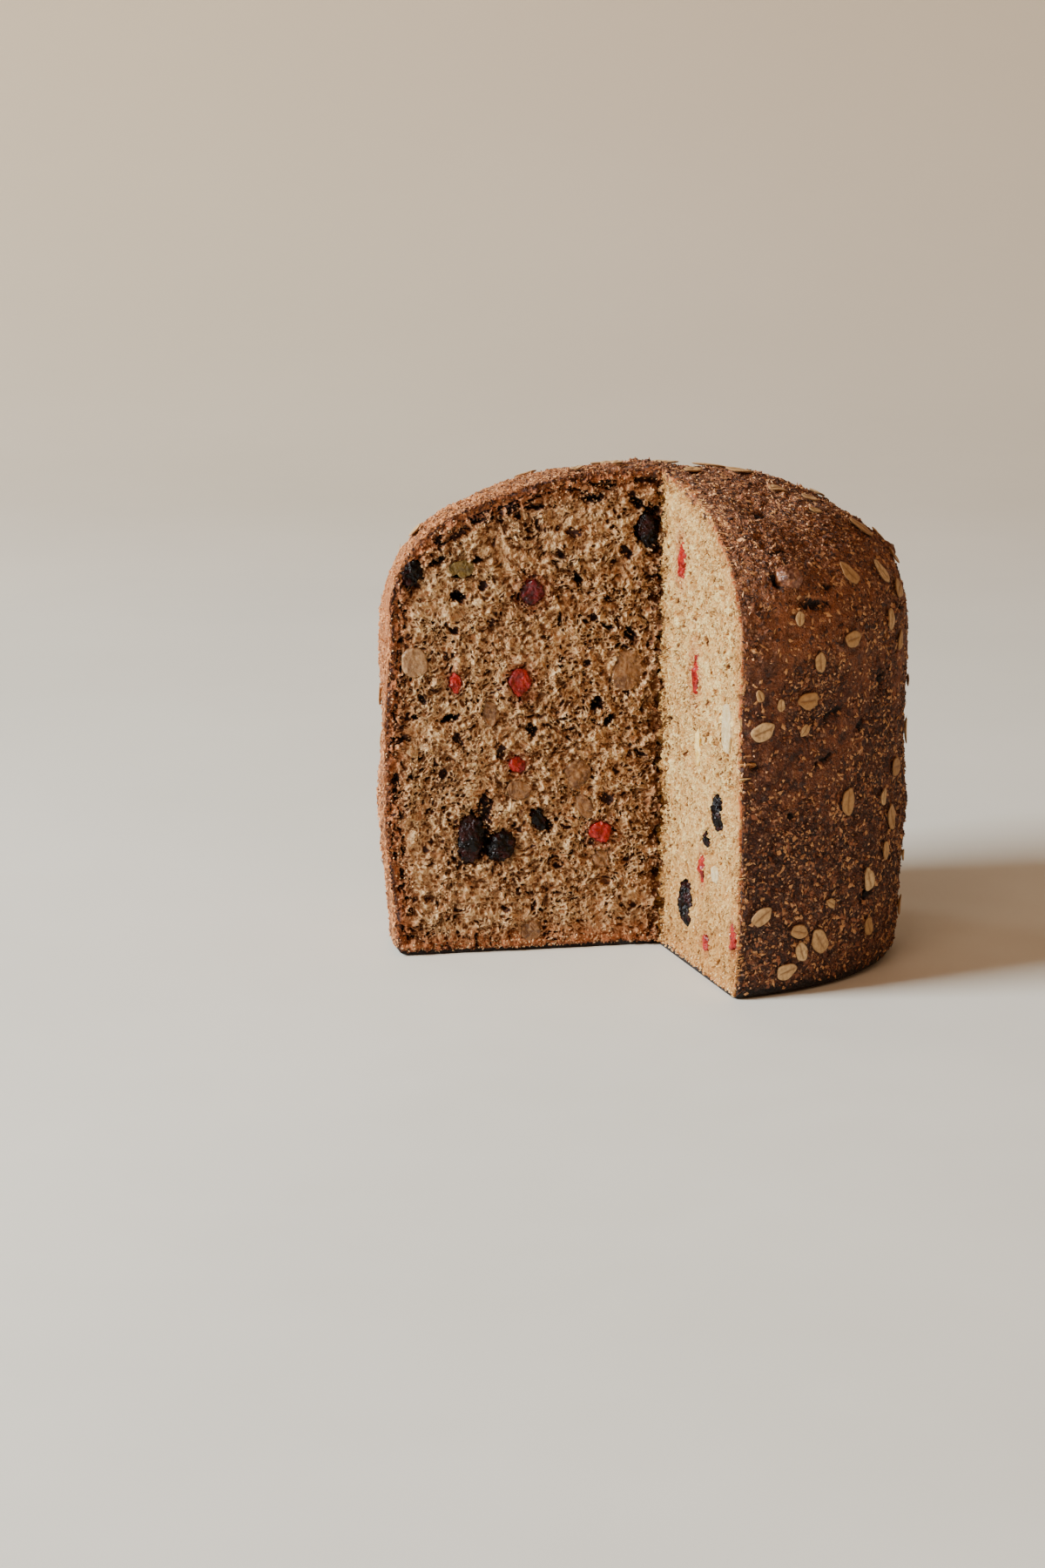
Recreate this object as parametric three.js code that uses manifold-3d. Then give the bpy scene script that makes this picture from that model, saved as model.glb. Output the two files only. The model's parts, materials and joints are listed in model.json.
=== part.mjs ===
// A tall domed fruit loaf of the panettone kind, baked from wholemeal dough, with a wedge cut out of it.
// The crust is rolled in oat flakes. Raisins, candied cherries and diced peel show in the two cut faces.
// Millimetres, +Z up. The origin is the middle of the round base, and the cut side faces -Y.

import * as THREE from "three";
import { mergeVertices } from "three/addons/utils/BufferGeometryUtils.js";
import Module from "manifold-3d";

const wasm = await Module();
wasm.setup();

// The baked loaf: a drum, drawn in a little at its foot, under a soft dome
const LOAF_RADIUS = 70;
const SHOULDER_HEIGHT = 89;
const DOME_HEIGHT = 39.3;
const DOME_ROUND = 2.45;
const DOME_FULL = 2.1;
const FOOT_DRAWN_IN = 2.6;
const FOOT_HEIGHT = 45;
const BASE_EDGE_ROUND = 3;

// The cut: two knife faces that meet in an upright corner near the middle
const CUT_CORNER = [4.8, -1.1];
const LEFT_FACE_DEG = 193.3;
const RIGHT_FACE_DEG = 287.4;
const CRUMB_RELIEF = 0.45;

// Oat flakes on the crust
const FLAKE_LENGTH = 6.6;
const FLAKE_SIDES = 8;
const FLAKE_PROUD = 0.5;
const FLAKE_CROWN = 0.5;
const FLAKE_ROOT = 1.6;
const FLAKE_SPACING = 8.5;
const RULED_FLAKES = 72;
const CUT_CLEARANCE_DEG = 4.5;

// Fruit in the crumb
const POCKET_GAP = 0.35;
const FRUIT_PROUD = 0.75;

const TURN = Math.PI / 180;
const UP = new THREE.Vector3(0, 0, 1);

// Outline of the crust, as points [radius, height, length of a string laid up the crust from the floor]
function crustOutline(steps) {
  const points = [];
  const add = (radius, height) => {
    const last = points[points.length - 1];
    const run = last ? last[2] + Math.hypot(radius - last[0], height - last[1]) : 0;
    points.push([radius, height, run]);
  };
  for (let i = 0; i <= steps; i++) {
    const height = (SHOULDER_HEIGHT * i) / steps;
    const low = Math.max(0, 1 - height / FOOT_HEIGHT);
    add(LOAF_RADIUS - FOOT_DRAWN_IN * low * low, height);
  }
  for (let i = 1; i <= steps; i++) {
    const lift = (Math.PI / 2) * (i / steps);
    const radius = LOAF_RADIUS * Math.max(0, Math.cos(lift)) ** (2 / DOME_ROUND);
    add(i === steps ? 0 : radius, SHOULDER_HEIGHT + DOME_HEIGHT * Math.sin(lift) ** (2 / DOME_FULL));
  }
  return points;
}

const OUTLINE = crustOutline(240);
const STRING_LENGTH = OUTLINE[OUTLINE.length - 1][2];

// Radius and height where the string is `climb` long
function onOutline(climb) {
  const i = Math.max(1, OUTLINE.findIndex((p) => p[2] >= Math.min(climb, STRING_LENGTH)));
  const [a, b] = [OUTLINE[i - 1], OUTLINE[i]];
  const share = (Math.min(climb, STRING_LENGTH) - a[2]) / (b[2] - a[2]);
  return [a[0] + share * (b[0] - a[0]), a[1] + share * (b[1] - a[1])];
}

// Waves of the baked skin: [direction and rate along x, y, z in radians per mm, start, height in mm]
const SKIN_WAVES = [
  [0.11, 0.05, 0.07, 0.4, 0.34],
  [-0.06, 0.13, 0.09, 2.1, 0.3],
  [0.05, -0.09, 0.17, 4.0, 0.24],
  [0.21, 0.12, -0.06, 1.3, 0.2],
  [-0.14, 0.19, 0.15, 5.2, 0.16],
  [0.27, -0.2, 0.12, 3.3, 0.12],
];

// Lumps and dents that stand out: [azimuth in degrees, climb, radius, height]
const SKIN_LUMPS = [
  [110, 172, 9, 1.7],
  [10, 152, 8, 1.2],
  [305, 109.5, 8, 2.2],
  [303, 99, 7, -1.3],
  [315, 136, 6, -1.8],
  [307, 128, 9, 1.2],
  [70, 118, 11, 1.5],
  [150, 108, 10, 1.3],
  [205, 130, 9, -1.1],
  [40, 40, 13, 1.2],
  [120, 66, 14, -1.2],
];

// A point of the crust before its lumps, with the ways out of the crust and up it
function plainCrust(azimuth, climb) {
  const [radius, height] = onOutline(climb);
  const [r0, z0] = onOutline(Math.max(0, climb - 1));
  const [r1, z1] = onOutline(Math.min(STRING_LENGTH, climb + 1));
  const c = Math.cos(azimuth * TURN);
  const s = Math.sin(azimuth * TURN);
  const out = new THREE.Vector3((z1 - z0) * c, (z1 - z0) * s, r0 - r1).normalize();
  const up = new THREE.Vector3(-out.z * c, -out.z * s, Math.hypot(out.x, out.y));
  return { at: new THREE.Vector3(radius * c, radius * s, height), out, up };
}

const LUMP_CENTRES = SKIN_LUMPS.map(([azimuth, climb]) => plainCrust(azimuth, climb).at);

// How far the skin stands out at a point, fading to nothing at the floor
function swell(p) {
  let rise = 0;
  for (const [kx, ky, kz, start, height] of SKIN_WAVES) {
    rise += height * Math.sin(kx * p.x + ky * p.y + kz * p.z + start);
  }
  SKIN_LUMPS.forEach(([, , radius, height], i) => {
    rise += height * Math.exp(-p.distanceToSquared(LUMP_CENTRES[i]) / (radius * radius));
  });
  return rise * Math.min(1, p.z / 12);
}

function crustPoint(azimuth, climb) {
  const { at, out, up } = plainCrust(azimuth, climb);
  return { at: at.clone().addScaledVector(out, swell(at)), out, up };
}

// Stacks rings of points, lowest first, into one closed body with a fan over each end
function lofted(rings, lowMiddle, highMiddle) {
  const count = rings[0].length;
  const positions = rings.flat().concat([lowMiddle, highMiddle]).flatMap((p) => [p.x, p.y, p.z]);
  const faces = [];
  const low = rings.length * count;
  for (let i = 0; i < count; i++) {
    const next = (i + 1) % count;
    faces.push(low, next, i);
    faces.push(low + 1, low - count + i, low - count + next);
    for (let row = 0; row + 1 < rings.length; row++) {
      const base = row * count;
      faces.push(base + i, base + next, base + count + next);
      faces.push(base + i, base + count + next, base + count + i);
    }
  }
  const geometry = new THREE.BufferGeometry();
  geometry.setAttribute("position", new THREE.Float32BufferAttribute(positions, 3));
  geometry.setIndex(faces);
  return geometry;
}

// Turns a closed geometry into a solid that can be joined and cut
function solid(geometry) {
  const bare = geometry.clone();
  bare.deleteAttribute("normal");
  bare.deleteAttribute("uv");
  const merged = mergeVertices(bare, 1e-4);
  const mesh = new wasm.Mesh({
    numProp: 3,
    vertProperties: new Float32Array(merged.attributes.position.array),
    triVerts: new Uint32Array(merged.index.array),
  });
  return new wasm.Manifold(mesh);
}

function geometryOf(manifold) {
  const mesh = manifold.getMesh();
  const geometry = new THREE.BufferGeometry();
  geometry.setAttribute("position", new THREE.BufferAttribute(new Float32Array(mesh.vertProperties), 3));
  geometry.setIndex(new THREE.BufferAttribute(new Uint32Array(mesh.triVerts), 1));
  geometry.computeVertexNormals();
  return geometry;
}

// The whole loaf before it is cut
function wholeLoaf() {
  const columns = 64;
  const sideRows = 14;
  const domeRows = 12;
  const edgeRows = 3;
  const rings = [];
  const ring = (pointAt) => {
    rings.push(Array.from({ length: columns }, (_, i) => pointAt((360 * i) / columns)));
  };
  for (let i = 0; i < edgeRows; i++) {
    const angle = (Math.PI / 2) * (i / edgeRows);
    const radius = onOutline(BASE_EDGE_ROUND)[0] - BASE_EDGE_ROUND * (1 - Math.sin(angle));
    const height = BASE_EDGE_ROUND * (1 - Math.cos(angle));
    ring((a) => new THREE.Vector3(radius * Math.cos(a * TURN), radius * Math.sin(a * TURN), height));
  }
  const shoulder = OUTLINE.find((p) => p[1] >= SHOULDER_HEIGHT)[2];
  for (let i = 0; i < sideRows; i++) {
    const climb = BASE_EDGE_ROUND + ((shoulder - BASE_EDGE_ROUND) * i) / sideRows;
    ring((a) => crustPoint(a, climb).at);
  }
  for (let i = 0; i < domeRows; i++) {
    const climb = shoulder + (STRING_LENGTH - shoulder) * (i / domeRows);
    ring((a) => crustPoint(a, climb).at);
  }
  return solid(lofted(rings, new THREE.Vector3(0, 0, 0), crustPoint(0, STRING_LENGTH).at));
}

// A place on a knife face: `along` from the cut's corner, `height` over the floor, `inward` into the loaf
function onFace(face, along, height, inward = 0) {
  const angle = (face === "left" ? LEFT_FACE_DEG : RIGHT_FACE_DEG) * TURN;
  const side = face === "left" ? -1 : 1;
  return new THREE.Vector3(
    CUT_CORNER[0] + along * Math.cos(angle) - side * inward * Math.sin(angle),
    CUT_CORNER[1] + along * Math.sin(angle) + side * inward * Math.cos(angle),
    height,
  );
}

// Torn crumb: small uneven hills on the knife faces
function crumbRelief(along, height) {
  const ripple = Math.sin(along * 0.43 + height * 0.17) + Math.sin(height * 0.39 - along * 0.21 + 1.7);
  return CRUMB_RELIEF * 0.5 * (ripple + Math.sin(along * 0.52 + 0.6) * Math.sin(height * 0.47 + 2.2));
}

function onCrumb(face, along, height) {
  const relief = crumbRelief(face === "left" ? along : along + 31, height);
  return onFace(face, along, height, relief);
}

// The wedge that the knife took away, made a little larger than the loaf outside
function wedge() {
  const reach = 84;
  const alongSteps = 15;
  const levels = 22;
  const [below, above] = [-4, 140];
  const middle = (LEFT_FACE_DEG + RIGHT_FACE_DEG) / 2;
  const far = new THREE.Vector3(150 * Math.cos(middle * TURN), 150 * Math.sin(middle * TURN), 0);
  const rings = [];
  for (let k = 0; k <= levels; k++) {
    const height = below + ((above - below) * k) / levels;
    const points = [];
    for (let i = alongSteps; i >= 1; i--) points.push(onCrumb("right", (reach * i) / alongSteps, height));
    points.push(onFace("left", 0, height));
    for (let i = 1; i <= alongSteps; i++) points.push(onCrumb("left", (reach * i) / alongSteps, height));
    points.push(new THREE.Vector3(far.x, far.y, height));
    rings.push(points);
  }
  const inside = onFace("left", 20, 0, -20);
  const low = new THREE.Vector3(inside.x, inside.y, below);
  const high = new THREE.Vector3(inside.x, inside.y, above);
  return solid(lofted(rings, low, high));
}

// A seeded draw, the same on every run
function draws(seed) {
  let state = seed;
  return () => {
    state = (state * 1664525 + 1013904223) % 4294967296;
    return state / 4294967296;
  };
}

// Flakes with places of their own: [azimuth, climb, turn from upright in degrees, length for a usual one]
const SHOWN_FLAKES = [
  [357, 165.6, 80, 1.1],
  [50, 151, 95, 1.5],
  [347.7, 142.4, 70, 1],
  [17, 129, 80, 1],
  [336, 129, 50, 0.6],
  [349.7, 118.5, 20, 1.2],
  [5.6, 112, 15, 0.8],
  [325.1, 108.2, 25, 1.1],
  [340, 106, 15, 1.1],
  [336.9, 93.5, -20, 0.9],
  [319.5, 91.5, -85, 0.95],
  [305.4, 98.6, -20, 0.6],
  [309.7, 87, 5, 0.8],
  [307, 77.3, 90, 1],
  [300, 77, 0, 0.5],
  [294.9, 80, 20, 0.5],
  [296, 70.5, -70, 1.05],
  [306.3, 69.7, -40, 0.55],
  [318.6, 49.3, -5, 1.1],
  [333.5, 47.3, -15, 0.7],
  [334.7, 32.6, 10, 0.8],
  [326.8, 27, 25, 1.05],
  [296, 22.5, -55, 0.95],
  [305.4, 17.2, 75, 0.85],
  [306.5, 11.6, 20, 0.85],
  [311.8, 13.4, 35, 1.15],
  [328.5, 13.8, 30, 0.85],
  [303, 6.8, -75, 0.95],
  [314.7, 23, 60, 0.55],
  [165, 171, 90, 0.7],
  [185, 115, 50, 0.8],
];

// The rest are spread evenly by a rule over the back, the right side and the top
function allFlakes() {
  const flakes = SHOWN_FLAKES.map(([azimuth, climb, turn, size]) => ({ azimuth, climb, turn, size }));
  const draw = draws(20);
  const places = flakes.map((f) => crustPoint(f.azimuth, f.climb).at);
  const first = RIGHT_FACE_DEG + 50;
  const span = 360 + LEFT_FACE_DEG - CUT_CLEARANCE_DEG - first;
  for (let i = 1; flakes.length < SHOWN_FLAKES.length + RULED_FLAKES && i < 900; i++) {
    const azimuth = (first + span * ((i * 0.754877666) % 1)) % 360;
    const climb = 7 + (STRING_LENGTH - 12) * ((i * 0.569840291) % 1);
    const turn = 360 * draw();
    const size = 0.62 + 0.55 * draw();
    const keep = draw() < onOutline(climb)[0] / LOAF_RADIUS;
    const place = crustPoint(azimuth, climb).at;
    if (keep && places.every((p) => p.distanceTo(place) > FLAKE_SPACING)) {
      flakes.push({ azimuth, climb, turn, size });
      places.push(place);
    }
  }
  return flakes;
}

// One rolled oat: a thin oval with a low crown, and a root that holds it in the crust
function flake({ azimuth, climb, turn, size }) {
  const { at, out, up } = crustPoint(azimuth, climb);
  const half = (FLAKE_LENGTH * size) / 2;
  const rim = [];
  for (let i = 0; i < FLAKE_SIDES; i++) {
    const angle = (2 * Math.PI * i) / FLAKE_SIDES;
    const narrow = 0.68 - 0.08 * Math.cos(angle);
    rim.push(new THREE.Vector3(half * narrow * Math.sin(angle), half * Math.cos(angle), FLAKE_PROUD));
  }
  rim.reverse();
  const root = new THREE.Vector3(0, 0, -FLAKE_ROOT);
  const oval = lofted([rim], root, new THREE.Vector3(0, 0, FLAKE_PROUD + FLAKE_CROWN));
  return solid(seated(oval, at, up, out, turn));
}

// Fruit in the cut faces:
// [name, kind, face, along, height, width, tallness, turn in degrees, how proud of the face]
const FRUIT = [
  ["raisin_shoulder", "raisin", "left", 67.2, 103, 5.6, 8.4, -25, 0.9],
  ["peel_green", "peel", "left", 54.3, 104, 7.4, 4.2, 3, 0.3],
  ["cherry_upper", "cherry", "left", 35, 97, 6.6, 7.2, 10, 0.5],
  ["citron_edge", "citron", "left", 66.6, 79.2, 7.2, 8.8, 12, 0.4],
  ["cherry_middle", "cherry", "left", 38.1, 73.1, 6, 8.4, 18, 0.6],
  ["cherry_sliver", "cherry", "left", 55.6, 73.8, 3.2, 5.6, 10, 0.4],
  ["peel_inner", "peel", "left", 9, 75.4, 9.6, 12.4, -15, 0.5],
  ["peel_brown", "peel", "left", 46.3, 64.5, 3.6, 7.6, 0, 0.3],
  ["cherry_lower", "cherry", "left", 38.9, 50.8, 5.4, 5.2, 0, 0.6],
  ["peel_yellow", "peel", "left", 38.4, 44, 6.4, 5.4, -20, 0.6],
  ["peel_amber", "peel", "left", 22.4, 47.6, 8, 8.6, 20, 0.6],
  ["peel_strip", "peel", "left", 20.7, 38.8, 4.2, 6.6, 25, 0.4],
  ["raisin_tall", "raisin", "left", 51.6, 31, 7.4, 15.4, -8, 1.4],
  ["raisin_round", "raisin", "left", 43.3, 28.8, 7.8, 9.4, -35, 1.8],
  ["raisin_small", "raisin", "left", 33.1, 35.4, 3.6, 7, 25, 0.4],
  ["cherry_right", "cherry", "left", 16.1, 31.4, 6.8, 6.4, 0, 0.9],
  ["peel_pale", "peel", "left", 16.3, 24.4, 5.2, 4.8, 0, 0.6],
  ["raisin_corner", "raisin", "left", 3.6, 112.5, 5.4, 10.5, 12, 0.5],
  ["peel_base", "peel", "left", 35.3, 5.2, 5.2, 5.2, 0, 0.5],
  ["cherry_strip_top", "cherry", "right", 16.5, 107, 4.8, 12, -24, 0.5],
  ["cherry_strip_middle", "cherry", "right", 28.7, 78.9, 5.2, 12.6, -14, 0.5],
  ["peel_sliver", "peel", "right", 32, 60.3, 4.2, 11, -4, 0.4],
  ["citron_outer", "citron", "right", 55.5, 69.5, 7, 14, 0, 0.3],
  ["raisin_outer", "raisin", "right", 48.1, 46, 6.4, 10.8, 20, 1.2],
  ["raisin_bit", "raisin", "right", 40.2, 37.6, 4, 4.8, 0, 0.9],
  ["cherry_strip_low", "cherry", "right", 35.7, 28.3, 4, 8.4, -8, 0.5],
  ["raisin_big", "raisin", "right", 22.6, 16.4, 9.4, 13.4, 8, 2.4],
  ["citron_low", "citron", "right", 46.2, 29.2, 6.6, 5.4, 0, 0.3],
  ["cherry_bit", "cherry", "right", 39.6, 9.4, 4.6, 4.6, 0, 0.5],
  ["cherry_edge", "cherry", "right", 62, 16.3, 4.6, 7.4, 0, 0.5],
];

// Fruit that has baked through the crust:
// [name, kind, azimuth, climb, width, tallness, turn, how proud of the crust]
const CRUST_FRUIT = [
  ["peel_knob", "peel", 305, 109.4, 6.4, 7, 20, 2.4],
  ["peel_browned", "peel", 4, 108, 4.6, 6.4, -15, 2.2],
];

// Hollows torn or baked in the crumb of the left face: [along, height, width, tallness, depth, turn]
const HOLLOWS = [
  [5.6, 111, 8.4, 15, 7, 12],
  [15.9, 64.8, 4.6, 7.6, 6, -25],
  [56.7, 61.4, 5, 7.4, 5, 30],
  [53.6, 97.4, 4.6, 3.2, 5, 0],
  [23, 113, 5.4, 3.4, 4, 0],
];

// How far a piece of fruit reaches from its middle at an angle, for a piece about 1 across
function reachOf(kind, angle, seed) {
  const squareness = { raisin: 2, cherry: 2.2, peel: 3, citron: 4, hollow: 2 }[kind];
  const uneven = { raisin: 0.13, cherry: 0.07, peel: 0.1, citron: 0.05, hollow: 0.14 }[kind];
  const corners = Math.abs(Math.cos(angle)) ** squareness + Math.abs(Math.sin(angle)) ** squareness;
  const wander = uneven * Math.sin(3 * angle + seed) * Math.cos(angle + 2.3 * seed);
  return 0.5 * corners ** (-1 / squareness) * (1 + wander);
}

// One piece of fruit on a surface: a cushion that stands `proud` out of it along +Z and sinks `deep`
// below. `grow` makes it larger all round, for the pocket that holds it.
function morsel({ kind, width, tall, proud, deep, seed }, grow) {
  const sides = Math.max(width, tall) > 9 ? 10 : 8;
  const rings = [[-deep, 0.62], [-0.3 * deep, 1], [0.35 * proud, 0.9]].map(([height, share], row) =>
    Array.from({ length: sides }, (_, i) => {
      const angle = (2 * Math.PI * (i + 0.5 * (row % 2))) / sides;
      const reach = share * reachOf(kind, angle, seed + 0.4 * row);
      const x = (width * reach + grow) * Math.cos(angle);
      const y = (tall * reach + grow) * Math.sin(angle);
      return new THREE.Vector3(x, y, height + (row ? 0 : -grow));
    }),
  );
  const back = new THREE.Vector3(0, 0, -deep - grow);
  return lofted(rings, back, new THREE.Vector3(0.06 * width, -0.05 * tall, proud + grow));
}

// Sets a morsel on a surface: +X runs level along it, +Y up it and +Z out of it, then it is turned
function seated(geometry, at, up, out, turn) {
  const along = new THREE.Vector3().crossVectors(up, out);
  const frame = new THREE.Matrix4().makeBasis(along, up, out);
  const spun = new THREE.Matrix4().makeRotationZ(turn * TURN);
  return geometry.applyMatrix4(frame.multiply(spun)).translate(at.x, at.y, at.z);
}

function outOfFace(face) {
  return onFace(face, 0, 0, -1).sub(onFace(face, 0, 0));
}

// Every fruit as { name, kind, piece, pocket }. The pocket is the same shape with a gap round it.
function allFruit() {
  const made = [];
  const add = (name, kind, width, tall, turn, proud, { at, up, out }) => {
    const deep = 0.6 * Math.min(width, tall) + 1;
    const form = { kind, width, tall, proud, deep, seed: made.length };
    const build = (grow) => seated(morsel(form, grow), at, up, out, turn);
    made.push({ name, kind, piece: build(0), pocket: build(POCKET_GAP) });
  };
  for (const [name, kind, face, along, height, width, tall, turn, proud] of FRUIT) {
    const place = { at: onCrumb(face, along, height), up: UP, out: outOfFace(face) };
    add(name, kind, width, tall, turn, Math.max(proud, FRUIT_PROUD), place);
  }
  for (const [name, kind, azimuth, climb, width, tall, turn, proud] of CRUST_FRUIT) {
    add(name, kind, width, tall, turn, proud, crustPoint(azimuth, climb));
  }
  return made;
}

function hollows() {
  return HOLLOWS.map(([along, height, width, tall, deep, turn], seed) => {
    const shape = morsel({ kind: "hollow", width, tall, proud: 2, deep, seed }, 0);
    return solid(seated(shape, onCrumb("left", along, height), UP, outOfFace("left"), turn));
  });
}

const LOOKS = {
  loaf: { color: 0x8a5f3c, roughness: 0.9 },
  raisin: { color: 0x1d1213, roughness: 0.35 },
  cherry: { color: 0xb3231c, roughness: 0.25 },
  peel: { color: 0xb98a4a, roughness: 0.4 },
  citron: { color: 0xcdb694, roughness: 0.35 },
};

function named(name, kind, geometry) {
  const mesh = new THREE.Mesh(geometry, new THREE.MeshStandardMaterial({ ...LOOKS[kind], metalness: 0 }));
  mesh.name = name;
  return mesh;
}

const fruit = allFruit();
const coated = wasm.Manifold.union([wholeLoaf(), ...allFlakes().map(flake)]);
const cut = coated.subtract(wedge());
const pockets = wasm.Manifold.union([...fruit.map((f) => solid(f.pocket)), ...hollows()]);

const loaf = new THREE.Group();
loaf.add(named("loaf", "loaf", geometryOf(cut.subtract(pockets))));
for (const { name, kind, piece } of fruit) loaf.add(named(name, kind, piece));

export default loaf;
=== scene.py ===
import json
import math

import bpy
import numpy as np
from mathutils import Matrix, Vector

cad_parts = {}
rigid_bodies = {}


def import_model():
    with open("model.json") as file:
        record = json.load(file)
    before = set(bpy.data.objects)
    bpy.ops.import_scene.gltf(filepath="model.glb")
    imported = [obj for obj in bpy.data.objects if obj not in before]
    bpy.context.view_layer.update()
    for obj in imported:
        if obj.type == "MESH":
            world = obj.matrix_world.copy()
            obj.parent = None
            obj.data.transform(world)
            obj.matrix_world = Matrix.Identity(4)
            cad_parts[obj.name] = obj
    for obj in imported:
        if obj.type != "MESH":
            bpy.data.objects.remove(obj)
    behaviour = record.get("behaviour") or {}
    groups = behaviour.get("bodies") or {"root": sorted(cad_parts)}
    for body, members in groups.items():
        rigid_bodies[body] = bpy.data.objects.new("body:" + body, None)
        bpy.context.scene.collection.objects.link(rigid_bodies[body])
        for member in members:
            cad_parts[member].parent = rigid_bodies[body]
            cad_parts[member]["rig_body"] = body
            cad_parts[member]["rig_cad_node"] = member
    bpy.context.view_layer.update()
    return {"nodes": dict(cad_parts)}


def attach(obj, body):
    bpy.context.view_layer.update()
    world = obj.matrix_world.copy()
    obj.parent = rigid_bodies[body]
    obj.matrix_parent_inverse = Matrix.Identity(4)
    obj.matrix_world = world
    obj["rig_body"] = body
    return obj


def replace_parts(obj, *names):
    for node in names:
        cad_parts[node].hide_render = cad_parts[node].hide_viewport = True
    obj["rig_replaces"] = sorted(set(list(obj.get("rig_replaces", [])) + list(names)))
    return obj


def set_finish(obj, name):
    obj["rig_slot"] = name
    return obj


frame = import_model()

# The camera. It stands 1.26 m in front of the cut side, a little above the loaf and looking slightly
# down, with a long lens. The loaf sits right of the middle of an upright frame.
bpy.ops.object.camera_add(
    location=(0.001, -1.255, 0.306), rotation=(math.radians(78.19), 0, math.radians(1.51))
)
camera = bpy.context.object
camera.data.lens = 110
camera.data.sensor_width = 36
bpy.context.scene.camera = camera


# The crust. A wholemeal yeast dough rises in a round tin and domes over its rim. The oven dries its
# outside into a thin dark skin, speckled with bran and thickest over the dome. The knife has taken a
# wedge out of it, so its edge shows as a toasted line round both cut faces.
MM = 0.001
LOAF_RADIUS = 70
SHOULDER_HEIGHT = 89
DOME_HEIGHT = 39.3
DOME_ROUND = 2.45
DOME_FULL = 2.1
FOOT_DRAWN_IN = 2.6
FOOT_HEIGHT = 45
BASE_EDGE_ROUND = 3
CUT_CORNER = np.array([4.8, -1.1])
FACE_DEG = {"left": 193.3, "right": 287.4}
SIDE_CRUST = 1.7
DOME_CRUST = 2.6
BASE_CRUST = 1.6
EDGE_SET_BACK = 0.8
CRUST_GRAIN = 0.95

# Waves of the baked skin: direction and rate along x, y, z in radians per mm, start, height in mm
SKIN_WAVES = [
    (0.11, 0.05, 0.07, 0.4, 0.34),
    (-0.06, 0.13, 0.09, 2.1, 0.3),
    (0.05, -0.09, 0.17, 4.0, 0.24),
    (0.21, 0.12, -0.06, 1.3, 0.2),
    (-0.14, 0.19, 0.15, 5.2, 0.16),
    (0.27, -0.2, 0.12, 3.3, 0.12),
]
# Lumps and dents: azimuth in degrees, distance up the crust from the floor, radius, height
SKIN_LUMPS = [
    (110, 172, 9, 1.7),
    (10, 152, 8, 1.2),
    (305, 109.5, 8, 2.2),
    (303, 99, 7, -1.3),
    (315, 136, 6, -1.8),
    (307, 128, 9, 1.2),
    (70, 118, 11, 1.5),
    (150, 108, 10, 1.3),
    (205, 130, 9, -1.1),
    (40, 40, 13, 1.2),
    (120, 66, 14, -1.2),
]
# Short splits and pits, painted near black as shade in their hollows and burnt fruit in some: azimuth,
# distance up, half width, half height, turn in degrees, depth
CRUST_SPLITS = [
    (316, 135.5, 2.6, 1.3, 0, 1.8),
    (311.5, 134, 4.6, 0.6, 0, 1.6),
    (306.5, 118, 3.6, 0.6, 12, 1.6),
    (310, 102, 5.6, 1.1, -6, 1.5),
    (301.5, 109, 1, 2.2, 0, 1.8),
    (316.5, 106, 1.6, 0.8, 0, 1.2),
    (315, 73, 4.4, 1.1, 20, 1.1),
    (324, 68, 2.6, 1.1, 35, 1.1),
    (332.5, 79, 1.6, 3.4, 10, 1.2),
    (312, 61.5, 3.8, 0.8, 20, 1.3),
    (294.5, 61.5, 2.2, 1.1, -20, 1.2),
    (303.5, 47.5, 1.4, 1.1, 0, 1.1),
    (327.5, 22.5, 3, 2, 30, 1.4),
    (345, 95, 3.2, 0.7, 10, 1.2),
    (20, 70, 4.4, 0.9, 15, 1.3),
    (60, 120, 5, 0.7, -10, 1.4),
    (95, 44, 3.4, 0.9, 20, 1.2),
    (130, 96, 5, 0.8, 5, 1.4),
    (165, 60, 3.6, 1, -15, 1.2),
    (225, 150, 4, 0.6, 10, 1.3),
    (250, 164, 3, 0.6, -20, 1.2),
]


def crust_outline(steps=240):
    low = SHOULDER_HEIGHT * np.arange(steps + 1) / steps
    foot = FOOT_DRAWN_IN * np.maximum(0, 1 - low / FOOT_HEIGHT) ** 2
    lift = (np.pi / 2) * np.arange(1, steps + 1) / steps
    dome_r = LOAF_RADIUS * np.maximum(0, np.cos(lift)) ** (2 / DOME_ROUND)
    dome_r[-1] = 0
    radius = np.concatenate([LOAF_RADIUS - foot, dome_r])
    height = np.concatenate([low, SHOULDER_HEIGHT + DOME_HEIGHT * np.sin(lift) ** (2 / DOME_FULL)])
    run = np.concatenate([[0], np.cumsum(np.hypot(np.diff(radius), np.diff(height)))])
    return radius, height, run


OUTLINE_R, OUTLINE_Z, OUTLINE_RUN = crust_outline()
STRING_LENGTH = OUTLINE_RUN[-1]


def on_outline(climb):
    climb = np.clip(climb, 0, STRING_LENGTH)
    return np.interp(climb, OUTLINE_RUN, OUTLINE_R), np.interp(climb, OUTLINE_RUN, OUTLINE_Z)


def plain_crust(azimuth, climb):
    """Points on the crust before its lumps, with the ways out of it and up it, as rows in mm."""
    azimuth, climb = np.asarray(azimuth, float), np.asarray(climb, float)
    radius, height = on_outline(climb)
    r0, z0 = on_outline(climb - 1)
    r1, z1 = on_outline(climb + 1)
    c, s = np.cos(np.radians(azimuth)), np.sin(np.radians(azimuth))
    out = np.stack([(z1 - z0) * c, (z1 - z0) * s, r0 - r1], -1)
    out /= np.linalg.norm(out, axis=-1, keepdims=True)
    up = np.stack([-out[..., 2] * c, -out[..., 2] * s, np.hypot(out[..., 0], out[..., 1])], -1)
    return np.stack([radius * c, radius * s, height], -1), out, up


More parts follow.
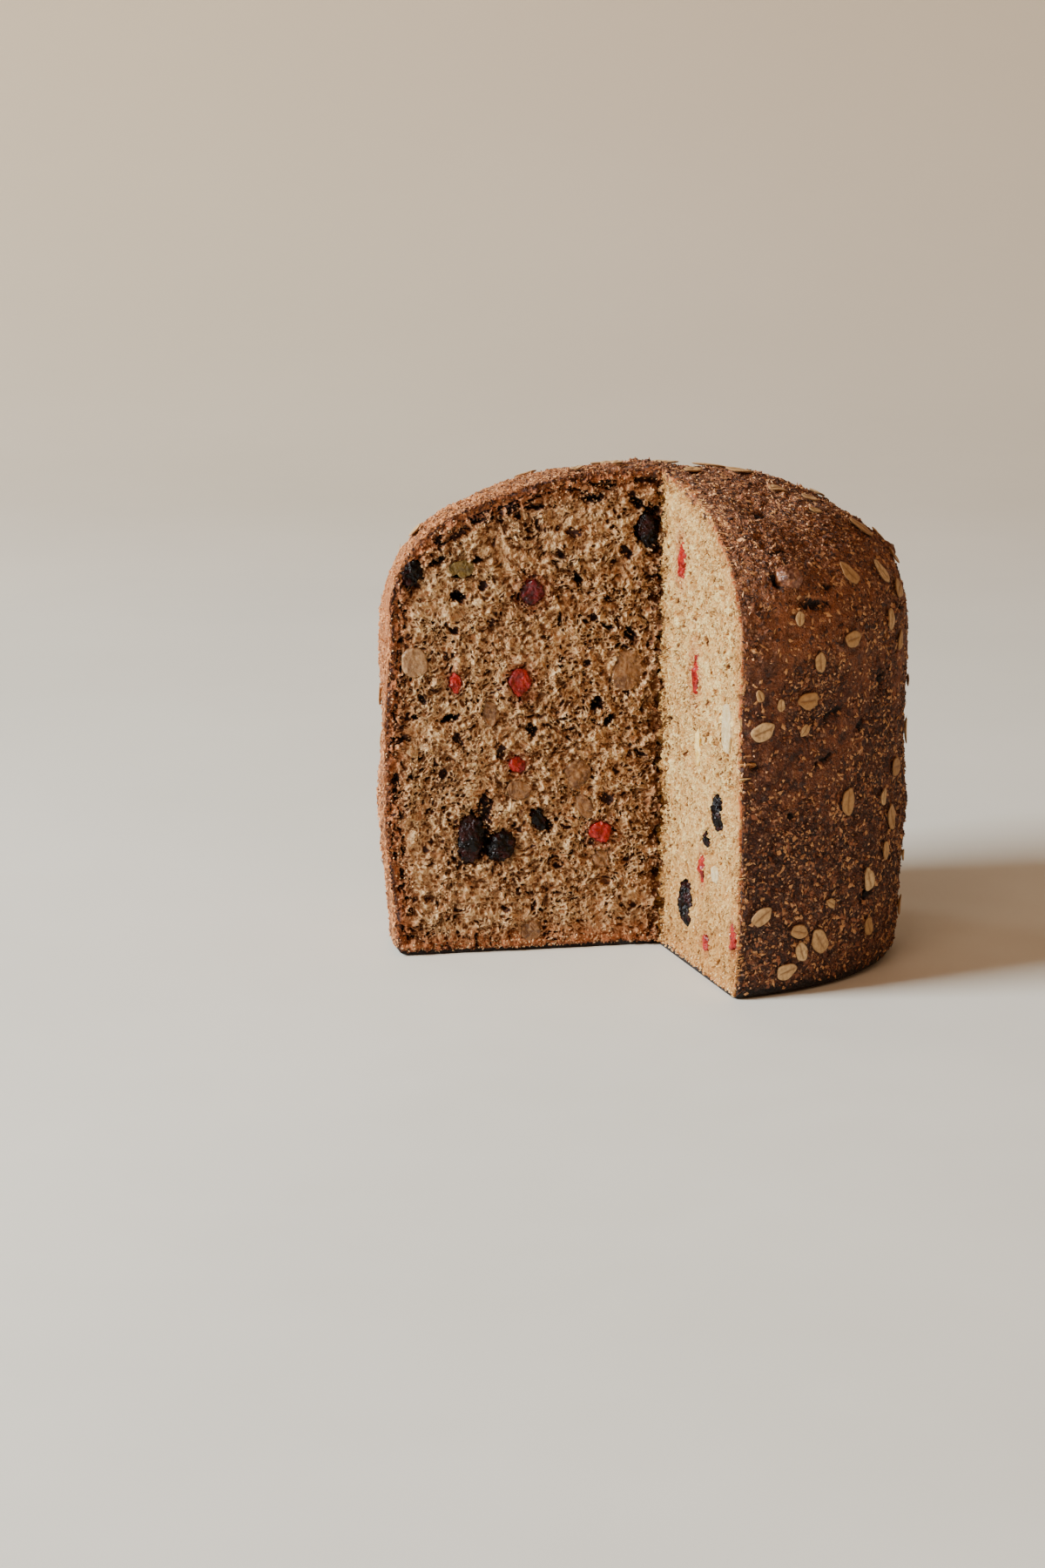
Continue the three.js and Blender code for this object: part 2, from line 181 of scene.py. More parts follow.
LUMP_CENTRES = [plain_crust(a, climb)[0] for a, climb, _, _ in SKIN_LUMPS]


def swell(p):
    """How far the skin stands out at each point, fading to nothing at the floor."""
    rise = np.zeros(p.shape[:-1])
    for kx, ky, kz, start, height in SKIN_WAVES:
        rise += height * np.sin(kx * p[..., 0] + ky * p[..., 1] + kz * p[..., 2] + start)
    for centre, (_, _, radius, height) in zip(LUMP_CENTRES, SKIN_LUMPS):
        rise += height * np.exp(-((p - centre) ** 2).sum(-1) / radius**2)
    return rise * np.minimum(1, p[..., 2] / 12)


def crust_point(azimuth, climb):
    at, out, up = plain_crust(azimuth, climb)
    return at + out * swell(at)[..., None], out, up


def read_points(piece):
    points = np.zeros(len(piece.data.vertices) * 3)
    piece.data.vertices.foreach_get("co", points)
    return points.reshape(-1, 3) / MM


def move_points(piece, points):
    piece.data.vertices.foreach_set("co", (points * MM).ravel())
    piece.data.update()


def alone(piece):
    """Only this piece is selected, as it is before any operator."""
    bpy.ops.object.select_all(action="DESELECT")
    piece.select_set(True)
    bpy.context.view_layer.objects.active = piece


def finish_modifiers(piece):
    alone(piece)
    for modifier in list(piece.modifiers):
        bpy.ops.object.modifier_apply(modifier=modifier.name)


def inner_depth(climb, side, dome):
    """Thickness of the crust along the outline: thin up the side and thicker over the dome."""
    return side + (dome - side) * np.clip((climb - 70) / 40, 0, 1)


def loaf_body(name, side=0.0, dome=0.0, base=0.0):
    """The whole loaf as a closed body, drawn in by the crust's thickness at side, dome and base."""
    rings, segments = 96, 180
    bpy.ops.object.select_all(action="DESELECT")
    bpy.ops.mesh.primitive_uv_sphere_add(segments=segments, ring_count=rings, radius=1)
    body = bpy.context.object
    body.name = body.data.name = name
    points = read_points(body) * MM
    from_bottom = np.arccos(np.clip(-points[:, 2] / np.linalg.norm(points, axis=1), -1, 1)) / np.pi
    azimuth = np.degrees(np.arctan2(points[:, 1], points[:, 0]))
    foot_r = on_outline(BASE_EDGE_ROUND)[0]
    flat = foot_r - BASE_EDGE_ROUND
    bend = BASE_EDGE_ROUND * np.pi / 2
    run = from_bottom * (flat + bend + STRING_LENGTH - BASE_EDGE_ROUND)
    climb = np.clip(run - flat - bend + BASE_EDGE_ROUND, BASE_EDGE_ROUND, STRING_LENGTH)
    placed, out, _ = crust_point(azimuth, climb)
    c, s = np.cos(np.radians(azimuth)), np.sin(np.radians(azimuth))
    on_bend = np.clip((run - flat) / bend, 0, 1) * np.pi / 2
    low_r = np.where(run < flat, run, flat + BASE_EDGE_ROUND * np.sin(on_bend))
    low_z = BASE_EDGE_ROUND * (1 - np.cos(on_bend))
    low_out = np.stack([np.sin(on_bend) * c, np.sin(on_bend) * s, -np.cos(on_bend)], -1)
    low = (run < flat + bend)[:, None]
    placed = np.where(low, np.stack([low_r * c, low_r * s, low_z], -1), placed)
    out = np.where(low, low_out, out)
    low_depth = np.where(run < flat, base, (base + side) / 2)
    depth = np.where(low[:, 0], low_depth, inner_depth(climb, side, dome))
    move_points(body, placed - out * depth[:, None])
    return body


def along_face(face):
    angle = math.radians(FACE_DEG[face])
    return np.array([math.cos(angle), math.sin(angle), 0])


def into_face(face):
    angle = math.radians(FACE_DEG[face])
    side = 1 if face == "right" else -1
    return side * np.array([-math.sin(angle), math.cos(angle), 0])


CORNER = np.array([CUT_CORNER[0], CUT_CORNER[1], 0])


def on_face(face, along, height, inward=0.0):
    along, height, inward = (np.asarray(v, float)[..., None] for v in (along, height, inward))
    return CORNER + along * along_face(face) + inward * into_face(face) + height * np.array([0, 0, 1])


def make(tree, kind, inputs=(), **settings):
    """Adds one node, with its settings, and plugs in or sets its inputs by name or number."""
    node = tree.nodes.new(kind)
    for name, value in settings.items():
        setattr(node, name, value)
    for key, value in dict(inputs).items():
        if isinstance(value, bpy.types.NodeSocket):
            tree.links.new(value, node.inputs[key])
        else:
            node.inputs[key].default_value = value
    return node


def sums(tree, operation, *values):
    return make(tree, "ShaderNodeMath", enumerate(values), operation=operation).outputs[0]


def vectors(tree, operation, *values):
    node = make(tree, "ShaderNodeVectorMath", enumerate(values), operation=operation)
    return node.outputs["Value" if operation in ("LENGTH", "DISTANCE", "DOT_PRODUCT") else "Vector"]


def times(tree, a, b):
    return sums(tree, "MULTIPLY", a, b)


def axis(tree, vector, number):
    return make(tree, "ShaderNodeSeparateXYZ", {0: vector}).outputs[number]


def scaled(tree, vector, by):
    return make(tree, "ShaderNodeVectorMath", {0: vector, "Scale": by}, operation="SCALE").outputs[0]


def noise(tree, vector, per_mm, detail=2.0, roughness=0.5):
    inputs = {"Vector": vector, "Scale": per_mm, "Detail": detail, "Roughness": roughness}
    return make(tree, "ShaderNodeTexNoise", inputs).outputs[0]


def remap(tree, value, low, high, to_low=0.0, to_high=1.0):
    return make(
        tree, "ShaderNodeMapRange", {0: value, 1: low, 2: high, 3: to_low, 4: to_high}
    ).outputs[0]


def drift(tree, vector, per_mm, detail, low, high, to_low=0.0, to_high=1.0):
    """Noise, stretched so that low to high become to_low to to_high."""
    return remap(tree, noise(tree, vector, per_mm, detail), low, high, to_low, to_high)


def store(piece, name, values):
    if name in piece.data.attributes:
        piece.data.attributes.remove(piece.data.attributes[name])
    attribute = piece.data.attributes.new(name, "FLOAT", "POINT")
    attribute.data.foreach_set("value", np.ascontiguousarray(values, dtype=np.float32))


def stored(tree, name):
    if tree.bl_idname == "GeometryNodeTree":
        return make(tree, "GeometryNodeInputNamedAttribute", {"Name": name}, data_type="FLOAT").outputs[0]
    return make(tree, "ShaderNodeAttribute", attribute_name=name).outputs["Fac"]


def geometry_tree(name):
    """A new node group for a mesh, with its nodes of input and output."""
    tree = bpy.data.node_groups.new(name, "GeometryNodeTree")
    for way in ("INPUT", "OUTPUT"):
        tree.interface.new_socket("Geometry", in_out=way, socket_type="NodeSocketGeometry")
    return tree, tree.nodes.new("NodeGroupInput"), tree.nodes.new("NodeGroupOutput")


def relief(piece, name, build):
    """Moves the piece's points along the offset in mm that build(tree, points in mm, normal) gives."""
    tree, start, end = geometry_tree(name)
    points = scaled(tree, make(tree, "GeometryNodeInputPosition").outputs[0], 1 / MM)
    normal = make(tree, "GeometryNodeInputNormal").outputs[0]
    offset = scaled(tree, build(tree, points, normal), MM)
    moved = make(tree, "GeometryNodeSetPosition", {"Geometry": start.outputs[0], "Offset": offset})
    tree.links.new(moved.outputs[0], end.inputs[0])
    modifier = piece.modifiers.new(name, "NODES")
    modifier.node_group = tree
    finish_modifiers(piece)


def skin_run(p):
    """How far up the crust from the floor the nearest skin is."""
    radius = np.hypot(p[:, 0], p[:, 1])
    reach, run = np.full(len(p), 999.0), np.zeros(len(p))
    for r0, z0, run0 in zip(OUTLINE_R[::3], OUTLINE_Z[::3], OUTLINE_RUN[::3]):
        away = np.hypot(radius - r0, p[:, 2] - z0)
        run = np.where(away < reach, run0, run)
        reach = np.minimum(away, reach)
    return run


def ragged(along, height):
    wave = 0.2 * np.sin(2.1 * along + 1.3 * height) + 0.17 * np.sin(3.3 * height - 2.6 * along + 1)
    return wave + 0.12 * np.sin(6.1 * along + 4.3 * height) + 0.1 * np.sin(7.7 * height - 5.2 * along)


def split_depth(p):
    """Depth in mm of the short splits of the crust at each point."""
    azimuth, run = np.degrees(np.arctan2(p[:, 1], p[:, 0])), skin_run(p)
    deep = np.zeros(len(p))
    for a, up, half_width, half_height, turn, depth in CRUST_SPLITS:
        c, s = math.cos(math.radians(turn)), math.sin(math.radians(turn))
        x = np.radians((azimuth - a + 180) % 360 - 180) * np.hypot(p[:, 0], p[:, 1])
        y = run - up
        away = np.hypot((x * c + y * s) / half_width, (y * c - x * s) / half_height)
        deep = np.maximum(deep, depth * np.clip((1.3 - away - 1.2 * ragged(x, y)) * 1.3, 0, 1))
    return deep


def sandiness(tree, points):
    """Where the skin is coarse with bran: in patches, low down and over the dome."""
    z = axis(tree, points, 2)
    patches = remap(tree, noise(tree, points, 0.055, 3, 0.6), 0.4, 0.58)
    low_down = remap(tree, z, 75, 35, 0, 0.8)
    return sums(tree, "MAXIMUM", patches, sums(tree, "MAXIMUM", low_down, remap(tree, z, 98, 114)))


def crust_relief(tree, points, normal):
    """Fine crags and shallow pits of the baked skin, held back where it stands on the floor."""
    crags = noise(tree, points, 0.42, 3, 0.65)
    patches = drift(tree, points, 0.06, 2, 0.42, 0.6)
    pits = make(tree, "ShaderNodeTexVoronoi", {"Vector": points, "Scale": 0.36}).outputs["Distance"]
    pit = times(tree, remap(tree, pits, 0.12, 0.42, -0.6, 0), patches)
    coarse = remap(tree, sandiness(tree, points), 0, 1, 0.6, 1.5)
    crags = times(tree, remap(tree, crags, 0.3, 0.7, -0.75, 0.25), coarse)
    height = sums(tree, "ADD", crags, pit)
    height = sums(tree, "SUBTRACT", height, stored(tree, "split"))
    z = axis(tree, points, 2)
    height = times(tree, height, remap(tree, z, 0.4, 3))
    return scaled(tree, normal, height)


def knife_wedge(name, grow=0.0):
    """A prism over the cut, from under the floor to over the dome, with its two faces on the cut."""
    bpy.ops.object.select_all(action="DESELECT")
    bpy.ops.mesh.primitive_cube_add(size=1)
    wedge = bpy.context.object
    wedge.name = wedge.data.name = name
    tip = on_face("left", 0, 0, grow)
    left, right = on_face("left", 95, 0, grow), on_face("right", 95, 0, grow)
    far = 2.2 * (left + right) / 2
    corners = {(1, 1): tip, (-1, 1): left, (1, -1): right, (-1, -1): far}
    shape = []
    for p in read_points(wedge):
        place = corners[(int(np.sign(p[0])), int(np.sign(p[1])))]
        shape.append([place[0], place[1], -6 if p[2] < 0 else 142])
    move_points(wedge, np.array(shape))
    return wedge


def cut_with(piece, tool, operation):
    modifier = piece.modifiers.new(operation.lower(), "BOOLEAN")
    modifier.operation = operation
    modifier.solver = "MANIFOLD"
    modifier.object = tool
    finish_modifiers(piece)
    bpy.data.objects.remove(tool)


crust = loaf_body("crust")
remesh = crust.modifiers.new("even grain", "REMESH")
remesh.mode = "VOXEL"
remesh.voxel_size = CRUST_GRAIN * MM
evener = crust.modifiers.new("no steps", "SMOOTH")
evener.factor = 0.5
evener.iterations = 4
finish_modifiers(crust)
store(crust, "split", split_depth(read_points(crust)))
relief(crust, "crust relief", crust_relief)
cut_with(crust, loaf_body("crust lining", SIDE_CRUST, DOME_CRUST, BASE_CRUST), "DIFFERENCE")
cut_with(crust, knife_wedge("crust cut", EDGE_SET_BACK), "DIFFERENCE")


def tint(code):
    """Linear colour of a six-digit sRGB code."""
    parts = [int(code[i : i + 2], 16) / 255 for i in (0, 2, 4)]
    linear = [v / 12.92 if v <= 0.04045 else ((v + 0.055) / 1.055) ** 2.4 for v in parts]
    return (*linear, 1)


def blend(tree, share, a, b):
    """Mixes two colours, each a socket or a six-digit sRGB code."""
    a, b = (tint(colour) if isinstance(colour, str) else colour for colour in (a, b))
    return make(tree, "ShaderNodeMix", {0: share, 6: a, 7: b}, data_type="RGBA").outputs[2]


def finish_named(name):
    """A new material, as its node tree, its shader and its points in mm."""
    material = bpy.data.materials.new(name)
    material.use_nodes = True
    tree = material.node_tree
    shader = tree.nodes["Principled BSDF"]
    points = scaled(tree, make(tree, "ShaderNodeTexCoord").outputs["Object"], 1 / MM)
    return material, tree, shader, points


def painted(tree, shader, points, colour, per_mm, least, most):
    """Plugs in a colour, and a roughness that drifts between least and most."""
    tree.links.new(colour, shader.inputs["Base Color"])
    rough = remap(tree, noise(tree, points, per_mm, 2), 0.3, 0.7, least, most)
    tree.links.new(rough, shader.inputs["Roughness"])


def bumped(tree, shader, height, distance_mm, strength=1.0):
    inputs = {"Height": height, "Distance": distance_mm * MM, "Strength": strength}
    bump = make(tree, "ShaderNodeBump", inputs)
    tree.links.new(bump.outputs[0], shader.inputs["Normal"])


def cells(tree, vector, per_mm, feature="F1", output="Distance"):
    inputs = {"Vector": vector, "Scale": per_mm}
    return make(tree, "ShaderNodeTexVoronoi", inputs, feature=feature).outputs[output]


def split_colour(tree, colour):
    parts = make(tree, "ShaderNodeSeparateXYZ", {0: colour}).outputs
    return parts[0], parts[1]


# The baked skin's colours: brown in drifts, painted shade between the bran specks, in the splits, lower
# down the side and at the base, and painted light on the left side and over the dome
crust_skin, tree, shader, points = finish_named("baked crust")
warped = make(tree, "ShaderNodeTexNoise", {"Vector": points, "Scale": 0.8}).outputs[1]
warped = vectors(tree, "ADD", points, scaled(tree, warped, 1.2))
place = make(tree, "ShaderNodeSeparateXYZ", {0: points}).outputs
sandy = sandiness(tree, points)
bran, hue = split_colour(tree, cells(tree, warped, 1.05, output="Color"))
husk = remap(tree, cells(tree, warped, 1.05), 0.62, 0.3)
shaded_gap = remap(tree, cells(tree, warped, 1.05, "DISTANCE_TO_EDGE"), 0.14, 0.03)
fine = noise(tree, points, 2.4, 3, 0.7)
patch = noise(tree, points, 0.05, 3, 0.6)
mottle = noise(tree, points, 0.28, 4, 0.65)
skin = blend(tree, remap(tree, patch, 0.38, 0.62), "6c361b", "a86038")
skin = blend(tree, remap(tree, sandy, 0.2, 1, 0, 0.5), skin, "40211a")
skin = blend(tree, remap(tree, mottle, 0.5, 0.62, 0, 0.85), skin, "2c120a")
skin = blend(tree, remap(tree, mottle, 0.46, 0.34, 0, 0.6), skin, "c57a4a")
# Painted light: the skin is painted paler on the left side, towards the window, and over the dome
pale = sums(tree, "MAXIMUM", remap(tree, place[0], -15, -60), remap(tree, place[2], 78, 116, 0, 0.75))
skin = blend(tree, times(tree, pale, 0.8), skin, "cf7d40")
# Painted shade: the skin is painted darker lower down the side, below the dome
skin = blend(tree, remap(tree, place[2], 88, 58, 0, 0.22), skin, "2c120a")
flesh = blend(tree, hue, "c8935f", "dba687")
speck = times(tree, remap(tree, bran, 0.45, 0.85), husk)
skin = blend(tree, times(tree, speck, remap(tree, sandy, 0, 1, 0.2, 0.8)), skin, flesh)
skin = blend(tree, remap(tree, fine, 0.5, 0.66, 0, 0.6), skin, "3a1b0e")
# Painted shade: near black in the gaps between the bran specks
skin = blend(tree, times(tree, shaded_gap, remap(tree, sandy, 0, 1, 0.2, 0.9)), skin, "1c0c07")
# Painted shade: the splits and pits are painted near black, with burnt fruit in some of them
skin = blend(tree, remap(tree, stored(tree, "split"), 0.2, 0.7, 0, 0.95), skin, "0b0605")
# Near black where the skin rounds under onto the floor: painted shadow under the loaf, on a darker baked
# underside
skin = blend(tree, remap(tree, place[2], 4.5, 2.2, 0, 0.95), skin, "0e0705")
painted(tree, shader, points, skin, 0.8, 0.55, 0.85)
lumps = times(tree, husk, remap(tree, bran, 0, 1, 0.15, 0.75))
lumps = times(tree, lumps, remap(tree, sandy, 0, 1, 0.35, 1))
lumps = sums(tree, "ADD", lumps, times(tree, fine, 0.7))
bumped(tree, shader, sums(tree, "SUBTRACT", lumps, times(tree, mottle, 2.5)), 1, 1)
crust.data.materials.clear()
crust.data.materials.append(crust_skin)


def inside_by(p, base=True):
    """How far in mm each point is inside the loaf's skin, or less than nothing outside it."""
    radius = np.hypot(p[:, 0], p[:, 1])
    reach = np.full(len(p), 99.0)
    for r0, z0 in zip(OUTLINE_R[::4], OUTLINE_Z[::4]):
        reach = np.minimum(reach, np.hypot(radius - r0, p[:, 2] - z0))
    outside = radius > np.interp(p[:, 2], OUTLINE_Z, OUTLINE_R)
    under = np.where(outside, -reach, reach) + swell(p)
    return np.minimum(under, p[:, 2]) if base else under


crust_edge, tree, shader, points = finish_named("toasted cut edge")
edge = blend(tree, drift(tree, points, 0.9, 3, 0.35, 0.65), "6e3a1d", "b8743f")
edge = blend(tree, remap(tree, noise(tree, points, 1.5, 4, 0.6), 0.5, 0.6), edge, "32170c")
z = axis(tree, points, 2)
# Painted shadow: near black at the floor, under the cut edge
edge = blend(tree, remap(tree, z, 2.6, 1.4), edge, "120806")
painted(tree, shader, points, edge, 0.8, 0.65, 0.9)
bumped(tree, shader, noise(tree, points, 1.6, 4, 0.7), 0.5, 0.9)
crust.data.materials.append(crust_edge)
store(crust, "split", split_depth(read_points(crust)))
middles = np.zeros(len(crust.data.polygons) * 3)
crust.data.polygons.foreach_get("center", middles)
middles = middles.reshape(-1, 3) / MM
is_edge = np.zeros(len(middles), bool)
for face in FACE_DEG:
    along = (middles - CORNER) @ along_face(face)
    deep = (middles - CORNER) @ into_face(face)
    is_edge |= (np.abs(deep - EDGE_SET_BACK) < 0.05) & (along > -0.1)
crust.data.polygons.foreach_set("material_index", is_edge.astype(np.int32))
alone(crust)
bpy.ops.object.shade_smooth_by_angle(angle=math.radians(50))
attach(crust, "root")
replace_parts(crust, "loaf")
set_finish(crust, "bread")


def copied(source, name):
    """A copy with a mesh of its own, and without the marks of what it was copied from."""
    piece = source.copy()
    piece.data = source.data.copy()
    piece.parent = None
    piece.name = piece.data.name = name
    bpy.context.scene.collection.objects.link(piece)
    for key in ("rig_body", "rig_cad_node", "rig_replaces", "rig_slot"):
        if key in piece:
            del piece[key]
    return piece


def scattered(source, name, seed, density, smallest, largest, tilt, sink):
    """Small shards of uneven size strewn over a piece, as one mesh. density(tree, points) is per mm2."""
    piece = copied(source, name)
    tree, start, end = geometry_tree(name)
    at = scaled(tree, make(tree, "GeometryNodeInputPosition").outputs[0], 1 / MM)
    share = times(tree, density(tree, at), 1 / MM**2)
    spread = make(tree, "GeometryNodeDistributePointsOnFaces", {
        "Mesh": start.outputs[0], "Density": share, "Seed": seed})
    back = scaled(tree, spread.outputs["Normal"], -sink * MM)
    sunk = make(tree, "GeometryNodeSetPosition", {"Geometry": spread.outputs["Points"], "Offset": back})
    pale = make(tree, "FunctionNodeRandomValue", {2: 0.0, 3: 1.0, "Seed": seed + 1}, data_type="FLOAT")
    toned = make(tree, "GeometryNodeStoreNamedAttribute", {
        "Geometry": sunk.outputs[0], "Name": "pale", "Value": pale.outputs[1]}, data_type="FLOAT")
    turn = make(tree, "FunctionNodeRandomValue", {
        0: (-tilt, -tilt, 0), 1: (tilt, tilt, 2 * math.pi), "Seed": seed + 2}, data_type="FLOAT_VECTOR")
    turned = make(tree, "FunctionNodeRotateRotation", {
        0: spread.outputs["Rotation"], 1: turn.outputs[0]}, rotation_space="LOCAL")
    size = make(tree, "FunctionNodeRandomValue", {
        0: smallest, 1: largest, "Seed": seed + 3}, data_type="FLOAT_VECTOR")
    shard = make(tree, "GeometryNodeMeshUVSphere", {"Segments": 4, "Rings": 2, "Radius": MM})
    strewn = make(tree, "GeometryNodeInstanceOnPoints", {
        "Points": toned.outputs[0], "Instance": shard.outputs[0], "Rotation": turned.outputs[0],
        "Scale": size.outputs[0]})
    whole = make(tree, "GeometryNodeRealizeInstances", {0: strewn.outputs[0]})
    bend = make(tree, "ShaderNodeTexNoise", {"Vector": at, "Scale": 1.7}).outputs[1]
    bend = scaled(tree, vectors(tree, "SUBTRACT", bend, (0.5, 0.5, 0.5)), 0.9 * MM)
    uneven = make(tree, "GeometryNodeSetPosition", {"Geometry": whole.outputs[0], "Offset": bend})
    tree.links.new(uneven.outputs[0], end.inputs[0])
    piece.modifiers.new(name, "NODES").node_group = tree
    finish_modifiers(piece)
    piece.data.materials.clear()
    bpy.ops.object.shade_flat()
    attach(piece, "root")
    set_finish(piece, "bread")
    return piece


def on_skin(most, least):
    def density(tree, points):
        share = remap(tree, sandiness(tree, points), 0, 1, least, most)
        return times(tree, share, stored(tree, "outer"))

    return density


def bran_colours(name, dark, middle, light):
    finish, tree, shader, points = finish_named(name)
    bran = blend(tree, remap(tree, stored(tree, "pale"), 0.2, 0.6), dark, middle)
    bran = blend(tree, remap(tree, stored(tree, "pale"), 0.66, 0.84), bran, light)
    x = axis(tree, points, 0)
    # Painted light: the bran is painted paler and more orange towards the window on the left
    bran = blend(tree, remap(tree, x, 0, -50, 0, 0.65), bran, "dc8f50")
    bran = blend(tree, drift(tree, points, 1.5, 2, 0.5, 0.7, 0, 0.5), bran, dark)
    painted(tree, shader, points, bran, 1, 0.5, 0.8)
    bumped(tree, shader, noise(tree, points, 3, 3), 0.15, 0.7)
    return finish


# Bran on the skin: flat flakes and small grains, thickest where the skin is sandy. Half sizes in mm.
SMALLEST_FLAKE, LARGEST_FLAKE = (0.4, 0.25, 0.1), (1.35, 0.8, 0.3)
SMALLEST_GRAIN, LARGEST_GRAIN = (0.2, 0.18, 0.16), (0.65, 0.55, 0.42)
skin_points = read_points(crust)
store(crust, "outer", (np.abs(inside_by(skin_points, base=False)) < 1) & (skin_points[:, 2] > 2.5))
bran_flakes = scattered(
    crust, "bran_flakes", 11, on_skin(0.55, 0.16), SMALLEST_FLAKE, LARGEST_FLAKE, 0.35, 0.0)
bran_flakes.data.materials.append(bran_colours("bran flake", "361a0d", "935836", "d39a63"))
bran_grains = scattered(
    crust, "bran_grains", 37, on_skin(0.5, 0.14), SMALLEST_GRAIN, LARGEST_GRAIN, 1.5, 0.0)
bran_grains.data.materials.append(bran_colours("bran grain", "34190f", "a26843", "dca778"))


# The crumb on the left of the cut. The inside of the loaf is a foam of thin bread walls round gas
# bubbles of 1 to 2 mm, and the knife opens and tears them into ragged holes of up to 9 mm. Towards the
# skin it is denser, toasted orange, and splits along the crust in thin layers. Holes, bubbles and layers
# are painted darker the deeper they go, as painted shade.
CRUMB_DEEP = 6
UNDER_SKIN = 0.3
LEFT_STEP = 0.32

# Torn holes: distance from the corner, height, half width, half height, turn in degrees, depth
LEFT_HOLES = [
    (6.5, 120, 2.2, 1, -40, 5),
    (2.5, 115, 2.6, 3.6, -10, 6),
    (6, 112, 1.2, 2, -5, 5),
    (1, 107.5, 1.4, 1.4, 30, 4),
    (18.5, 121.5, 3.2, 1.1, 0, 2.6),
    (23.5, 112.5, 3, 1.4, -15, 1.2),
    (9.5, 107, 1.2, 2, 40, 2.2),
    (22.5, 100, 0.8, 1.4, 20, 4),
    (14.5, 94.5, 1.2, 1, 0, 2.6),
    (2, 94.5, 1.4, 1.1, -35, 3),
    (27.5, 89.5, 0.5, 2.2, 0, 2.2),
    (8.5, 85, 1.3, 1.9, 20, 3),
    (0, 84, 1.3, 1, -30, 3),
    (49, 119, 3.8, 0.8, 17, 3),
    (49, 116.5, 1.6, 0.6, 12, 2.4),
    (41.5, 121, 2.6, 0.8, 8, 3),
    (34, 119.5, 3.3, 0.6, 0, 2),
    (54.5, 113, 3.2, 1.1, 27, 1.3),
    (60.5, 106, 2.2, 0.8, 30, 3),
    (49.5, 106, 1.2, 0.7, 0, 3),
    (55, 96.5, 2, 1.3, -20, 4),
    (54, 102, 3, 0.5, 0, 3),
    (48, 99, 1.2, 1.6, -35, 1.6),
    (56, 87.5, 1.8, 0.9, -25, 1.8),
    (46, 89, 1.3, 1.3, 0, 1.3),
    (20, 77.5, 1.2, 0.9, 0, 1.9),
    (17.5, 66.5, 1.6, 1.8, -50, 4),
    (35, 60, 1.3, 1.7, 0, 2.8),
    (57, 64, 2.1, 0.9, 15, 4),
    (55, 58, 1.2, 1.8, 30, 2),
    (43.5, 54.5, 1.4, 2.6, 10, 1.6),
    (34, 37, 1.3, 1.5, 0, 3.6),
    (31, 34, 1.4, 1.5, -30, 3.6),
    (14.5, 40.5, 1.9, 1.7, 0, 1.7),
    (14, 62, 0.8, 2, -45, 3.6),
    (0, 49, 1.4, 1.6, 0, 4),
    (-1, 40.5, 0.9, 3.4, 5, 4),
    (47.8, 38.5, 2, 4.4, -8, 2.4),
    (47.2, 30, 2, 4, 0, 2.4),
    (66.5, 64.5, 0.9, 0.7, 0, 2.4),
    (0, 101, 1.2, 2, 10, 3),
    (-0.5, 75, 1, 3, 0, 3.5),
    (0, 66, 1.2, 2, 15, 3),
    (-0.5, 57, 1.1, 2.6, -10, 3.5),
    (0, 30, 1.2, 2.4, 10, 3.5),
    (0.5, 20, 1.1, 2, -20, 3),
    (0, 11, 1.3, 1.4, 0, 3),
]


def hole_depth(along, height, holes):
    """Depth in mm of the torn holes at each place on a face."""
    deep = np.zeros(len(along))
    for a, z, half_width, half_height, turn, depth in holes:
        c, s = math.cos(math.radians(turn)), math.sin(math.radians(turn))
        x, y = a - along, height - z
        away = np.hypot((x * c + y * s) / half_width, (y * c - x * s) / half_height)
        deep = np.maximum(deep, depth * np.clip((1.25 - away - ragged(along, height)) * 1.3, 0, 1))
    return deep


# How far the crumb is dragged back round each kind of fruit, in mm
BESIDE_FRUIT = {"raisin": 2.0, "cherry": 1.1, "peel": 0.6, "citron": 0.6}


def fruit_on(face):
    """Name, middle and half size of every fruit in this face, along it and up it."""
    found = []
    for name, node in sorted(frame["nodes"].items()):
        points = read_points(node) - CORNER
        along, deep = points @ along_face(face), points @ into_face(face)
        if name != "loaf" and abs(deep.mean()) < 5 and along.mean() > 1:
            low, high = along.min(), along.max()
            bottom, top = points[:, 2].min(), points[:, 2].max()
            found.append((name, (low + high) / 2, (bottom + top) / 2, (high - low) / 2, (top - bottom) / 2))
    return found


def wandering(tree, vector, per_mm, spread):
    """Noise from minus to plus half of spread."""
    return remap(tree, noise(tree, vector, per_mm, 2), 0.3, 0.7, -spread / 2, spread / 2)


def tears(tree, flat):
    """Torn lumps and hollows of the cut, in calm and in rough zones: under a half where it is torn deep."""
    lumps = remap(tree, noise(tree, flat, 0.5, 4, 0.66), 0, 1, -0.5, 0.5)
    zone = drift(tree, flat, 0.06, 2, 0.4, 0.6, 0.35, 1.2)
    near = remap(tree, stored(tree, "corner"), 0, 1, 1, 2)
    return sums(tree, "ADD", times(tree, lumps, times(tree, zone, near)), 0.5)


